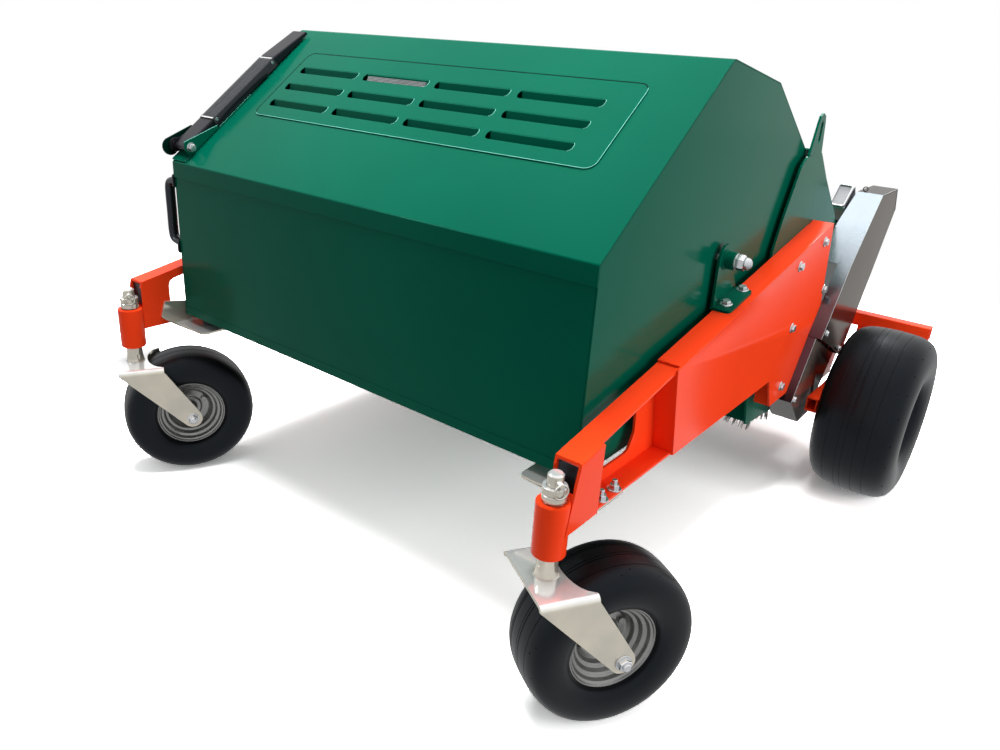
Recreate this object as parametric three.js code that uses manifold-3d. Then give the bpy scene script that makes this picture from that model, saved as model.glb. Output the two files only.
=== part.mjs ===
import * as THREE from 'three';
import { mergeVertices } from 'three/addons/utils/BufferGeometryUtils.js';
import Module from 'manifold-3d';

const wasm = await Module();
wasm.setup();

// Sweeper-collector for turf, carried on four wheels behind a compact tractor.
// Millimetres. X runs across the machine, +Y to the tractor end, +Z up from the ground.

// Fits and facets
const gap = 0.3;
const overrun = 5;
const wheelSides = 24;
const roundSides = 16;
const smallSides = 12;
const bendSteps = 2;
const handleSides = 8;
const ringSides = 5;
const handleSteps = 14;
const mergeTolerance = 1e-3;

// Hopper and its pivot
const hopperHalfWidth = 615;
const hopperSheet = 3;
const hopperFrontY = -1204;
const armBottomZ = 400;
const restHeight = 36;
const hopperFloorZ = armBottomZ + restHeight;
const frontWallHeight = 383;
const lidRun = 410;
const lidRise = 321;
const roofRun = 262;
const roofDrop = 42;
const ridgeBend = 14;
const floorBend = 10;
const lipDepth = 38;
const pivotY = -710;
const pivotZ = 748.6;
const mouthRadius = 478.4;
const rotorBeyondMouth = 116.6;
const rotorY = pivotY + mouthRadius + rotorBeyondMouth;
const rotorZ = 308;
const mouthLipTurn = 0.4206;
const mouthSteps = 8;
const pinRadius = 10;
const pinHeadRadius = 20;
const pinHeadThickness = 6;
const doublerRadius = 62;
const doublerThickness = 4;

// Vent panel let into the lid, places measured up the slope from the lid's front edge
const ventMargin = 124;
const ventHalfWidth = hopperHalfWidth - ventMargin;
const ventLow = 196;
const ventHigh = 432;
const ventSheet = 2;
const ventCorner = 22;
const ventOverlap = 16;
const slotHeight = 24;
const slotCorner = 9;
const slotBridge = 22;
const slotEndLeft = 24;
const slotEndRight = 68;
const slotColumns = 4;
const slotPitchX = (2 * ventHalfWidth - slotEndLeft - slotEndRight + slotBridge) / slotColumns;
const slotLength = slotPitchX - slotBridge;
const slotColumnsStart = -ventHalfWidth + slotEndLeft + slotLength / 2;
const slotRowPitch = 61.5;
const slotFirstRow = 243;
const slotRows = 3;
const louvreDrop = 11;
const louvreSheet = 1.2;

// Arms
const armPlay = 17;
const armInnerX = hopperHalfWidth + armPlay;
const armWidth = 52;
const armOuterX = armInnerX + armWidth;
const armSheet = 5;
const armLead = 106;
const armFrontY = hopperFrontY - armLead;
const armFrontHeight = 124;
const armSlope = 0.2;
const armShort = 35;
const armRearY = rotorY - armShort;
const armBoxLead = 280;
const boxTopSetback = 17;
const armBoxFrontY = pivotY - armBoxLead;
const armWindowStart = 74;
const armWindowFrontY = armFrontY + armWindowStart;
const armWindowBack = 50;
const armWindowRearY = armBoxFrontY - armWindowBack;
const armWindowSill = 32;
const armWindowLowZ = armBottomZ + armWindowSill;
const armWindowCorner = 18;
const armFaceLength = 70;
const armFaceEndY = armFrontY + armFaceLength;
const cheekLead = 306;
const cheekFrontY = rotorY - cheekLead;
const cheekStep = 83;
const cheekCornerZ = armBottomZ - cheekStep;
const cheekSlant = 44;
const cheekDrop = 148;
const cheekLowZ = armBottomZ - cheekDrop;
const cheekPlay = 4;
const cheekNeckRise = 44;
const cheekNeckZ = armBottomZ + cheekNeckRise;
const cheekNeckReach = 175;
const cheekNeckY = rotorY + cheekNeckReach;
const cheekRearRise = 112;

// Castors
const castorTyreRadius = 164.5;
const castorTyreWidth = 138;
const forkDip = 15;
const forkTopZ = 2 * castorTyreRadius - forkDip;
const kingpinInset = 20.8;
const kingpinX = armInnerX + kingpinInset;
const kingpinLead = 26;
const kingpinY = armFrontY - kingpinLead;
const kingpinTubeRadius = 30;
const kingpinTubeRise = 39;
const kingpinTubeLow = forkTopZ + kingpinTubeRise;
const kingpinTubeSeat = 58;
const kingpinTubeHigh = armBottomZ + kingpinTubeSeat;
const stemRadius = 19;
const stemTopRadius = 14;
const stemTopRise = 50;
const stemTopZ = kingpinTubeHigh + stemTopRise;
const collarRadius = 21.5;
const collarHeight = 27;
const collarWaist = 1.2;
const trailInset = 42.5;
const castorTrail = castorTyreRadius - trailInset;
const castorRimRadius = 86;
const castorSwivel = { right: 31.6, left: 26.6 };
const forkSheet = 7;
const forkPlay = 9;
const forkHalfWidth = castorTyreWidth / 2 + forkPlay + forkSheet;
const forkFrontReach = 45;
const forkRearReach = 62;
const forkBend = 10;
const forkTipRadius = 24;
const forkNotch = 34;
const axleRadius = 8;
const axleHexAcross = 24;
const linchRadius = 5;
const linchRingRadius = 13;
const linchWire = 2;

// Rear wheels
const rearWheelReach = 120;
const rearWheelY = rotorY + rearWheelReach;
const rearTyreRadius = 236;
const rearTyreWidth = 220;
const wheelArmPlay = 31.5;
const wheelArmInnerX = armOuterX + wheelArmPlay;
const wheelArmWidth = 30;
const rearTyrePlay = 4.5;
const rearWheelX = wheelArmInnerX + wheelArmWidth + rearTyrePlay + rearTyreWidth / 2;
const rearRimRadius = 106;

// Rotor, its belt drive and the hood over it
const brushRadius = 185;
const brushCoreRadius = 70;
const brushEndPlay = 15;
const brushHalfLength = hopperHalfWidth - brushEndPlay;
const brushRows = 6;
const brushTwist = 0.9;
const rotorShaftRadius = 17.5;
const rotorPulleyRadius = 82;
const driveReach = 335;
const driveY = rotorY + driveReach;
const driveZ = 755;
const drivePulleyRadius = 42;
const driveShaftRadius = 15;
const pulleyWidth = 13;
const beltThickness = 7;
const hoodSheet = 4;
const housingSheet = 5.7;
const housingPlay = 11;

// Belt guards
const upperGuardDepth = 36;
const upperGuardX = armOuterX + upperGuardDepth;
const lowerGuardDepth = 22;
const lowerGuardX = armOuterX + lowerGuardDepth;
const guardSheet = 2;
const guardSplitZ = 456;

// Rear frame
const beamOverWheel = 52;
const beamHalfLength = rearWheelX + beamOverWheel;
const beamPlay = 9;
const beamY = rearWheelY + rearTyreRadius + beamPlay;
const beamDepth = 40;
const beamHeight = 40;
const beamDrop = 4;
const beamTopZ = armBottomZ + beamHeight - beamDrop;
const beamWall = 4;
const wheelArmRise = 48;
const wheelArmTopZ = rearTyreRadius + wheelArmRise;
const wheelArmHeight = 40;
const wheelArmGusset = 130;
const wheelArmLead = 161;
const wheelArmFrontY = rearWheelY - wheelArmLead;
const axleStubRadius = 16;

// Hitch
const lowerPinHalfSpan = 341.5;
const lowerPinRadius = 11;
const topPinRadius = 9.5;
const mastHeight = 460;
const hitchPlate = 12;
const hitchReach = 105;

// Tipping lever and grab handle
const leverPivotAlong = 40;
const leverPivotAbove = 18;
const leverEndAlong = 500;
const leverDepth = 26;
const leverWidth = 50;
const leverOverhang = 1;
const leverOuterX = -hopperHalfWidth - leverOverhang;
const leverWall = 3;
const gripStart = 132;
const gripEnd = 370;
const gripWall = 3;
const leverBoltRadius = 6;
const handleSetback = 8;
const handleY = hopperFrontY + handleSetback;
const handleLowZ = 604;
const handleHighZ = 778;
const handleStandoff = 50;
const handleRadius = 10;
const earSheet = 5;
const earTail = 130;
const earRadius = 16;
const doublerPlate = 3;
const doublerEnd = 257;

// Pivot brackets
const bracketFootLead = 28;
const bracketFootEnd = 89;
const bracketFrontY = pivotY - bracketFootLead;
const bracketRearY = pivotY + bracketFootEnd;
const bracketSheet = 6;
const bracketOverhang = 7;
const bracketEdge = 14;
const bracketOuterX = armOuterX - bracketEdge;
const bracketBase = 6;
const bracketCorner = 10;
const bracketTopRadius = 33;
const bossRadius = 19;
const bossEdge = 31;
const bossEndX = armOuterX - bossEdge;
const nutAcross = 30;
const nutHeight = 20;
const nutDome = 14;

// Rests under the hopper
const restSheet = 6;
const restReach = 127;
const restReachX = armInnerX - restReach;
const restLead = 28;
const restFrontY = hopperFrontY - restLead;
const restLength = 104;
const restRearY = restFrontY + restLength;
const bufferInset = 55;
const bufferX = hopperHalfWidth - bufferInset;
const bufferSetback = 36;
const bufferY = hopperFrontY + bufferSetback;
const bufferRadius = 20;

// Housing sides and bearings
const mouthClearance = 9;
const lugLead = 128;
const lugTopY = rotorY - lugLead;
const lugTopZ = 1006;
const lugRadius = 24;
const lugSlotHalfWidth = 8;
const lugSlotLow = 966;
const bearingRadius = 52;
const bearingFlange = 8;
const bearingHub = 20;

// Cross drive
const gearboxHalfWidth = 78;
const gearboxHalfDepth = 58;
const gearboxHalfHeight = 62;
const gearboxChamfer = 22;
const shelfSheet = 6;
const crossTubeRadius = 30;
const crossTubeBore = 24;
const crossFlangeRadius = 50;
const crossFlange = 14;
const blockInset = 41;
const blockInnerX = hopperHalfWidth - blockInset;
const crossTubeStop = 34;
const crossTubeEndX = blockInnerX - crossTubeStop;
const blockWidth = 48;
const blockTilt = 0.67;
const blockHalfLength = 46;
const blockHigh = 40;
const blockLow = 38;
const blockRim = 9;
const ptoRadius = 17.5;
const ptoLength = 92;
const ptoSplines = 6;

// Pulleys and brush rows
const pulleyInset = 1;
const pulleyFlange = 1.8;
const pulleyLip = 6;
const brushTipHalfAngle = 0.13;
const brushRootHalfAngle = 0.3;
const brushSteps = 8;

// Wheel hubs
const rimWall = 4;
const rimHubOuter = 34;
const axleNutAcross = 36;
const axleNutHeight = 14;
const axleShoulder = 24;
const axleShoulderReach = 70;
const axleShoulderX = rearWheelX - axleShoulderReach;

const paint = {
  green: { color: 0x07573f, roughness: 0.22, metalness: 0 },
  orange: { color: 0xe4401f, roughness: 0.3, metalness: 0 },
  zinc: { color: 0xc4c8ca, roughness: 0.32, metalness: 1 },
  rim: { color: 0x8d9296, roughness: 0.45, metalness: 0.6 },
  rubber: { color: 0x17181a, roughness: 0.62, metalness: 0 },
  black: { color: 0x1b1b1d, roughness: 0.42, metalness: 0 },
  stainless: { color: 0xb9bcbf, roughness: 0.18, metalness: 1 },
  cast: { color: 0xa9adb0, roughness: 0.5, metalness: 0.8 },
  steel: { color: 0x6f7276, roughness: 0.4, metalness: 1 },
  bristle: { color: 0x8d857b, roughness: 0.8, metalness: 0 },
};

const group = new THREE.Group();
const machine = new THREE.Group();
group.add(machine);

// Solids from closed geometry, and back
function solid(geometry) {
  const bare = geometry.index ? geometry.toNonIndexed() : geometry.clone();
  bare.deleteAttribute('normal');
  bare.deleteAttribute('uv');
  const merged = mergeVertices(bare, mergeTolerance);
  return new wasm.Manifold(new wasm.Mesh({
    numProp: 3,
    vertProperties: new Float32Array(merged.attributes.position.array),
    triVerts: new Uint32Array(merged.index.array),
  }));
}

function geometryOf(body) {
  const mesh = body.getMesh();
  const geometry = new THREE.BufferGeometry();
  const positions = new Float32Array(mesh.numVert * 3);
  for (let v = 0; v < mesh.numVert; v++) {
    for (let k = 0; k < 3; k++) positions[3 * v + k] = mesh.vertProperties[mesh.numProp * v + k];
  }
  geometry.setAttribute('position', new THREE.BufferAttribute(positions, 3));
  geometry.setIndex(new THREE.BufferAttribute(new Uint32Array(mesh.triVerts), 1));
  return geometry;
}

function mirrored(geometry) {
  const copy = geometry.clone().applyMatrix4(new THREE.Matrix4().makeScale(-1, 1, 1));
  const order = Array.from(copy.index.array);
  for (let t = 0; t < order.length; t += 3) [order[t], order[t + 1]] = [order[t + 1], order[t]];
  copy.setIndex(order);
  return copy;
}

function union(...bodies) {
  return bodies.reduce((sum, body) => sum.add(body));
}

function add(name, body, finish, parent = machine) {
  const geometry = body.isBufferGeometry ? body : geometryOf(body);
  const mesh = new THREE.Mesh(geometry, new THREE.MeshStandardMaterial(paint[finish]));
  mesh.name = name;
  parent.add(mesh);
  return mesh;
}

function addPair(name, body, finish) {
  const geometry = geometryOf(body);
  return [add(`${name}_right`, geometry, finish), add(`${name}_left`, mirrored(geometry), finish)];
}

// Outlines: lists of [u, v], and the same with corners turned into arcs
function bend(points, radius, closed = true) {
  const out = [];
  const count = points.length;
  points.forEach((corner, i) => {
    const end = !closed && (i === 0 || i === count - 1);
    const size = corner[2] ?? radius;
    if (end || !size) {
      out.push([corner[0], corner[1]]);
      return;
    }
    const here = new THREE.Vector2(corner[0], corner[1]);
    const before = new THREE.Vector2(...points[(i + count - 1) % count]).sub(here);
    const after = new THREE.Vector2(...points[(i + 1) % count]).sub(here);
    const lengths = [before.length(), after.length()];
    before.normalize();
    after.normalize();
    const half = Math.acos(THREE.MathUtils.clamp(before.dot(after), -1, 1)) / 2;
    const reach = Math.min(size / Math.tan(half), ...lengths.map((length) => length / 2));
    const fit = reach * Math.tan(half);
    const centre = before.clone().add(after).normalize().multiplyScalar(fit / Math.sin(half)).add(here);
    const from = before.clone().multiplyScalar(reach).add(here).sub(centre);
    const to = after.clone().multiplyScalar(reach).add(here).sub(centre);
    let sweep = to.angle() - from.angle();
    if (sweep > Math.PI) sweep -= 2 * Math.PI;
    if (sweep < -Math.PI) sweep += 2 * Math.PI;
    for (let s = 0; s <= bendSteps; s++) {
      const turn = from.angle() + (sweep * s) / bendSteps;
      out.push([centre.x + fit * Math.cos(turn), centre.y + fit * Math.sin(turn)]);
    }
  });
  return out;
}

function offset(line, distance) {
  const normals = line.slice(1).map((point, i) => {
    const run = new THREE.Vector2(point[0] - line[i][0], point[1] - line[i][1]).normalize();
    return new THREE.Vector2(-run.y, run.x);
  });
  return line.map((point, i) => {
    const first = normals[Math.max(i - 1, 0)];
    const second = normals[Math.min(i, normals.length - 1)];
    const mean = first.clone().add(second).normalize();
    const reach = distance / mean.dot(first);
    return [point[0] + mean.x * reach, point[1] + mean.y * reach];
  });
}

function strip(line, thickness) {
  return [...line, ...offset(line, thickness).reverse()];
}

function arcPoints(u, v, radius, from, to, steps) {
  return Array.from({ length: steps + 1 }, (_, i) => {
    const turn = from + ((to - from) * i) / steps;
    return [u + radius * Math.cos(turn), v + radius * Math.sin(turn)];
  });
}

function wound(points, sense) {
  const path = points.map(([u, v]) => new THREE.Vector2(u, v));
  return Math.sign(THREE.ShapeUtils.area(path)) === sense ? path : path.reverse();
}

function shapeOf(points, holes = []) {
  const shape = new THREE.Shape(wound(points, 1));
  holes.forEach((hole) => shape.holes.push(new THREE.Path(wound(hole, -1))));
  return shape;
}

// Plates: an outline pushed along one axis
const planes = {
  x: new THREE.Matrix4().makeBasis(
    new THREE.Vector3(0, 1, 0), new THREE.Vector3(0, 0, 1), new THREE.Vector3(1, 0, 0)),
  y: new THREE.Matrix4().makeBasis(
    new THREE.Vector3(0, 0, 1), new THREE.Vector3(1, 0, 0), new THREE.Vector3(0, 1, 0)),
  z: new THREE.Matrix4(),
};

function plate(axis, points, from, to, holes = []) {
  const depth = to - from;
  const outline = axis === 'y' ? points.map(([x, z]) => [z, x]) : points;
  const cuts = axis === 'y' ? holes.map((hole) => hole.map(([x, z]) => [z, x])) : holes;
  const settings = { depth, bevelEnabled: false, steps: 1 };
  const geometry = new THREE.ExtrudeGeometry(shapeOf(outline, cuts), settings);
  geometry.translate(0, 0, from);
  return solid(geometry.applyMatrix4(planes[axis]));
}

function box(x0, x1, y0, y1, z0, z1) {
  const geometry = new THREE.BoxGeometry(x1 - x0, y1 - y0, z1 - z0);
  return solid(geometry.translate((x0 + x1) / 2, (y0 + y1) / 2, (z0 + z1) / 2));
}

// Round bars along an axis; u and v are the other two coordinates in X, Y, Z order
function rod(axis, u, v, radius, from, to, sides = smallSides) {
  const geometry = new THREE.CylinderGeometry(radius, radius, to - from, sides);
  geometry.translate(0, (from + to) / 2, 0);
  if (axis === 'x') geometry.rotateZ(-Math.PI / 2).translate(0, u, v);
  if (axis === 'y') geometry.translate(u, 0, v);
  if (axis === 'z') geometry.rotateX(Math.PI / 2).translate(u, v, 0);
  return solid(geometry);
}

function hexRadius(across) {
  return across / Math.sqrt(3);
}

// Turned solids about X: profile of [x, radius]
function turnedX(profile, y, z, sides = roundSides) {
  const geometry = new THREE.LatheGeometry(wound(profile.map(([x, r]) => [r, x]), 1), sides);
  geometry.rotateZ(-Math.PI / 2);
  return solid(geometry.translate(0, y, z));
}

// Wheels: the same turned form, standing on a flat facet whose middle is at the stated radius
function wheelX(profile) {
  const across = 1 / Math.cos(Math.PI / wheelSides);
  const geometry = new THREE.LatheGeometry(wound(profile.map(([x, r]) => [r, x]), 1), wheelSides);
  return solid(geometry.rotateZ(-Math.PI / 2).rotateX(Math.PI / wheelSides).scale(1, across, across));
}

// Rotation-safe hole: a faceted bore whose flats still clear the bar inside it
function bore(radius, sides = smallSides) {
  return (radius + gap) / Math.cos(Math.PI / sides);
}

// Frames that lie on a slope: t runs up the slope in the YZ plane, n stands off it
function slopeFrame(y, z, angle) {
  const along = new THREE.Vector3(0, Math.cos(angle), Math.sin(angle));
  const normal = new THREE.Vector3(0, -Math.sin(angle), Math.cos(angle));
  const across = new THREE.Vector3(1, 0, 0);
  const origin = new THREE.Matrix4().makeTranslation(0, y, z);
  const side = origin.clone().multiply(new THREE.Matrix4().makeBasis(along, normal, across));
  const face = origin.clone().multiply(new THREE.Matrix4().makeBasis(across, along, normal));
  return {
    at: (t, n) => [y + t * along.y + n * normal.y, z + t * along.z + n * normal.z],
    profile: (points, from, to, holes) => framed(points, from, to, holes, side),
    sheet: (points, from, to, holes) => framed(points, from, to, holes, face),
  };
}

function framed(points, from, to, holes, matrix) {
  const settings = { depth: to - from, bevelEnabled: false, steps: 1 };
  const geometry = new THREE.ExtrudeGeometry(shapeOf(points, holes), settings);
  return solid(geometry.translate(0, 0, from).applyMatrix4(matrix));
}

function rectangle(u0, u1, v0, v1) {
  return [[u0, v0], [u1, v0], [u1, v1], [u0, v1]];
}

function circle(u, v, radius, sides = smallSides) {
  return arcPoints(u, v, radius, 0, 2 * Math.PI, sides).slice(0, sides);
}

// Hopper
const lidFrontZ = hopperFloorZ + frontWallHeight;
const lidFrontY = hopperFrontY - hopperSheet - gap;
const ridgeY = hopperFrontY + lidRun;
const ridgeZ = lidFrontZ + lidRise;
const lipY = pivotY + mouthRadius * Math.cos(mouthLipTurn);
const lipZ = pivotZ + mouthRadius * Math.sin(mouthLipTurn);
const floorTurn = Math.asin((hopperFloorZ - pivotZ) / mouthRadius);
const floorEndY = pivotY + mouthRadius * Math.cos(floorTurn);
const lidAngle = Math.atan2(lidRise, ridgeY - lidFrontY);
const onLid = slopeFrame(lidFrontY, lidFrontZ, lidAngle);
const lidLine = bend([
  [lidFrontY, lidFrontZ - lipDepth],
  [lidFrontY, lidFrontZ, 2 * hopperSheet],
  [ridgeY, ridgeZ],
  [ridgeY + roofRun, ridgeZ - roofDrop],
  [lipY, lipZ],
], ridgeBend, false);


function makeHopper() {
  const innerX = hopperHalfWidth - hopperSheet;
  const underLid = offset(lidLine, -hopperSheet - gap);
  const rearmost = underLid[underLid.length - 1];
  const topTurn = Math.atan2(rearmost[1] - pivotZ, rearmost[0] - pivotY);
  const mouth = arcPoints(pivotY, pivotZ, mouthRadius, floorTurn, topTurn, mouthSteps);
  const sideOutline = [[hopperFrontY, hopperFloorZ], ...mouth.slice(0, -1), ...underLid.reverse()];
  const pinHole = circle(pivotY, pivotZ, bore(pinRadius));
  const doubler = circle(pivotY, pivotZ, doublerRadius, roundSides);
  const side = plate('x', sideOutline, innerX, hopperHalfWidth, [pinHole])
    .add(plate('x', doubler, innerX - doublerThickness, innerX, [pinHole]));
  addPair('hopper_side', side, 'green');

  const trayLine = bend([
    [hopperFrontY, lidFrontZ - 2 * hopperSheet],
    [hopperFrontY, hopperFloorZ],
    [floorEndY, hopperFloorZ],
  ], floorBend, false);
  const trayX = innerX - gap;
  add('hopper_tray', plate('x', strip(trayLine, hopperSheet), -trayX, trayX), 'green');

  const lid = plate('x', strip(lidLine, -hopperSheet), -hopperHalfWidth, hopperHalfWidth);
  const openX = ventHalfWidth - ventOverlap;
  const opening = rectangle(-openX, openX, ventLow + ventOverlap, ventHigh - ventOverlap);
  const hole = onLid.sheet(bend(opening, ventCorner / 2), -hopperSheet - overrun, overrun);
  add('lid', lid.subtract(hole), 'green');
}

function slotCentres() {
  const centres = [];
  for (let row = 0; row < slotRows; row++) {
    for (let column = 0; column < slotColumns; column++) {
      centres.push([slotColumnsStart + column * slotPitchX, slotFirstRow + row * slotRowPitch]);
    }
  }
  return centres;
}

function makeVent() {
  const halfLength = slotLength / 2;
  const halfHeight = slotHeight / 2;
  const slots = slotCentres().map(([x, s]) => bend(
    rectangle(x - halfLength, x + halfLength, s - halfHeight, s + halfHeight), slotCorner));
  const outline = bend(rectangle(-ventHalfWidth, ventHalfWidth, ventLow, ventHigh), ventCorner);
  const panel = onLid.sheet(outline, gap, gap + ventSheet, slots);
  const louvres = slotCentres().map(([x, s]) => {
    const top = s + halfHeight;
    const rootHigh = gap + (ventSheet + louvreSheet) / 2;
    const line = [
      [top + 2 * louvreSheet, rootHigh],
      [top - 2 * louvreSheet, rootHigh],
      [s - halfHeight + slotCorner, -louvreDrop],
    ];
    const halfLouvre = halfLength - 1.4 * slotCorner;
    return onLid.profile(strip(line, louvreSheet), x - halfLouvre, x + halfLouvre);
  });
  add('vent_panel', union(panel, ...louvres), 'green');
}

function makeGrabHandle() {
  const wallX = -hopperHalfWidth - gap;
  const outX = wallX - handleStandoff + handleRadius;
  const inset = handleRadius * 2;
  const path = new THREE.CurvePath();
  const corners = [
    [wallX, handleLowZ + handleRadius],
    [outX + inset, handleLowZ + handleRadius],
    [outX, handleLowZ + handleRadius + inset],
    [outX, handleHighZ - handleRadius - inset],
    [outX + inset, handleHighZ - handleRadius],
    [wallX, handleHighZ - handleRadius],
  ].map(([x, z]) => new THREE.Vector3(x, handleY, z));
  path.add(new THREE.CatmullRomCurve3(corners, false, 'centripetal'));
  const section = shapeOf(circle(0, 0, handleRadius, handleSides));
  const bar = new THREE.ExtrudeGeometry(section, { steps: handleSteps, extrudePath: path.curves[0] });
  const footWide = handleRadius * 1.4;
  const feet = [handleLowZ, handleHighZ - 2 * handleRadius].map((z) => box(
    wallX - handleRadius / 2, wallX, handleY - footWide, handleY + footWide,
    z - handleRadius, z + 3 * handleRadius));
  add('grab_handle', union(solid(bar), ...feet), 'black');
}

makeHopper();
makeVent();
makeGrabHandle();

// Tipping lever in its two ears on the lid's left edge
const leverLow = leverPivotAbove - leverDepth / 2;
const leverHigh = leverPivotAbove + leverDepth / 2;
const leverInnerX = leverOuterX + leverWidth;

function makeLever() {
  const earOutline = [
    [leverPivotAlong - earRadius, gap],
    [earTail, gap],
    [earTail, gap + 2 * earSheet],
    ...arcPoints(leverPivotAlong, leverPivotAbove, earRadius, 1.2, Math.PI, bendSteps * 2),
  ];
  const earXs = [leverOuterX - gap - earSheet, leverInnerX + gap];
  const ears = earXs.map((x) => onLid.profile(earOutline, x, x + earSheet));
  const foot = bend(rectangle(earXs[0], earXs[1] + earSheet, earSheet, doublerEnd), earSheet);
  const base = onLid.sheet(foot, gap, gap + doublerPlate);
  const bolt = onLid.profile(
    circle(leverPivotAlong, leverPivotAbove, leverBoltRadius), earXs[0] - earSheet, earXs[1] + 2 * earSheet);
  add('lever_bracket', union(base, ...ears, bolt), 'green');

  const body = [
    ...arcPoints(
      leverPivotAlong, leverPivotAbove, leverDepth / 2, Math.PI / 2, (3 * Math.PI) / 2, bendSteps * 2),
    [leverEndAlong, leverLow],
    [leverEndAlong, leverHigh - leverWall],
    [leverEndAlong - leverWall, leverHigh],
  ];
  const hollow = rectangle(0, leverEndAlong + overrun, leverLow - overrun, leverHigh - leverWall);
  const pivot = circle(leverPivotAlong, leverPivotAbove, bore(leverBoltRadius));
  const lever = onLid.profile(body, leverOuterX, leverInnerX, [pivot])
    .subtract(onLid.profile(hollow, leverOuterX + leverWall, leverInnerX - leverWall));
  add('tip_lever', lever, 'black');

  const outer = rectangle(gripStart, gripEnd, leverLow, leverHigh + gap + gripWall);
  const inner = rectangle(gripStart - overrun, gripEnd + overrun, leverLow - overrun, leverHigh + gap);
  const grip = onLid.profile(outer, leverOuterX - gap - gripWall, leverInnerX + gap + gripWall)
    .subtract(onLid.profile(inner, leverOuterX - gap, leverInnerX + gap));
  add('lever_grip', grip, 'rubber');
}

makeLever();

// Guards: outlines are shares of the belt's run between the two axes
const aboutBelt = (shares) => shares.map(([y, z]) => [
  rotorY + y * (driveY - rotorY), rotorZ + z * (driveZ - rotorZ)]);
const splitShare = (guardSplitZ - rotorZ) / (driveZ - rotorZ);
const seamShare = 0.003;
const upperGuardShares = [
  [-0.143, splitShare], [0.26, 0.729], [0.785, 1.119], [1.293, 1.121], [1.4, 0.973], [0.609, 0.0805],
];
const lowerGuardShares = [
  [0.522, 0.107], [0.125, -0.226], [-0.146, -0.228], [-0.454, -0.022], [-0.143, splitShare - seamShare],
];

// The lower guard's walls run in under the cheek as a trough
const crossing = (from, to, z) => [from[0] + ((z - from[1]) / (to[1] - from[1])) * (to[0] - from[0]), z];
const lowGuard = aboutBelt(lowerGuardShares);
const troughLine = [
  crossing(lowGuard[1], lowGuard[0], cheekLowZ - cheekPlay),
  ...lowGuard.slice(1, 4),
  crossing(lowGuard[3], lowGuard[4], cheekCornerZ - cheekPlay),
];

// Arms: an open channel, and a box plate that closes its rear half and drops to carry the rear frame
const channelOuterX = armOuterX - armSheet - gap;
const armTopZ = (y) => armBottomZ + armFrontHeight + armSlope * (y - armFrontY);
const armAngle = Math.atan(armSlope);
const onArm = slopeFrame(armFrontY, armTopZ(armFrontY), armAngle);
const boxTopRise = gap + armSheet;

function squareTo(y, z) {
  return y + armSlope * (armTopZ(y) - z);
}

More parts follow.
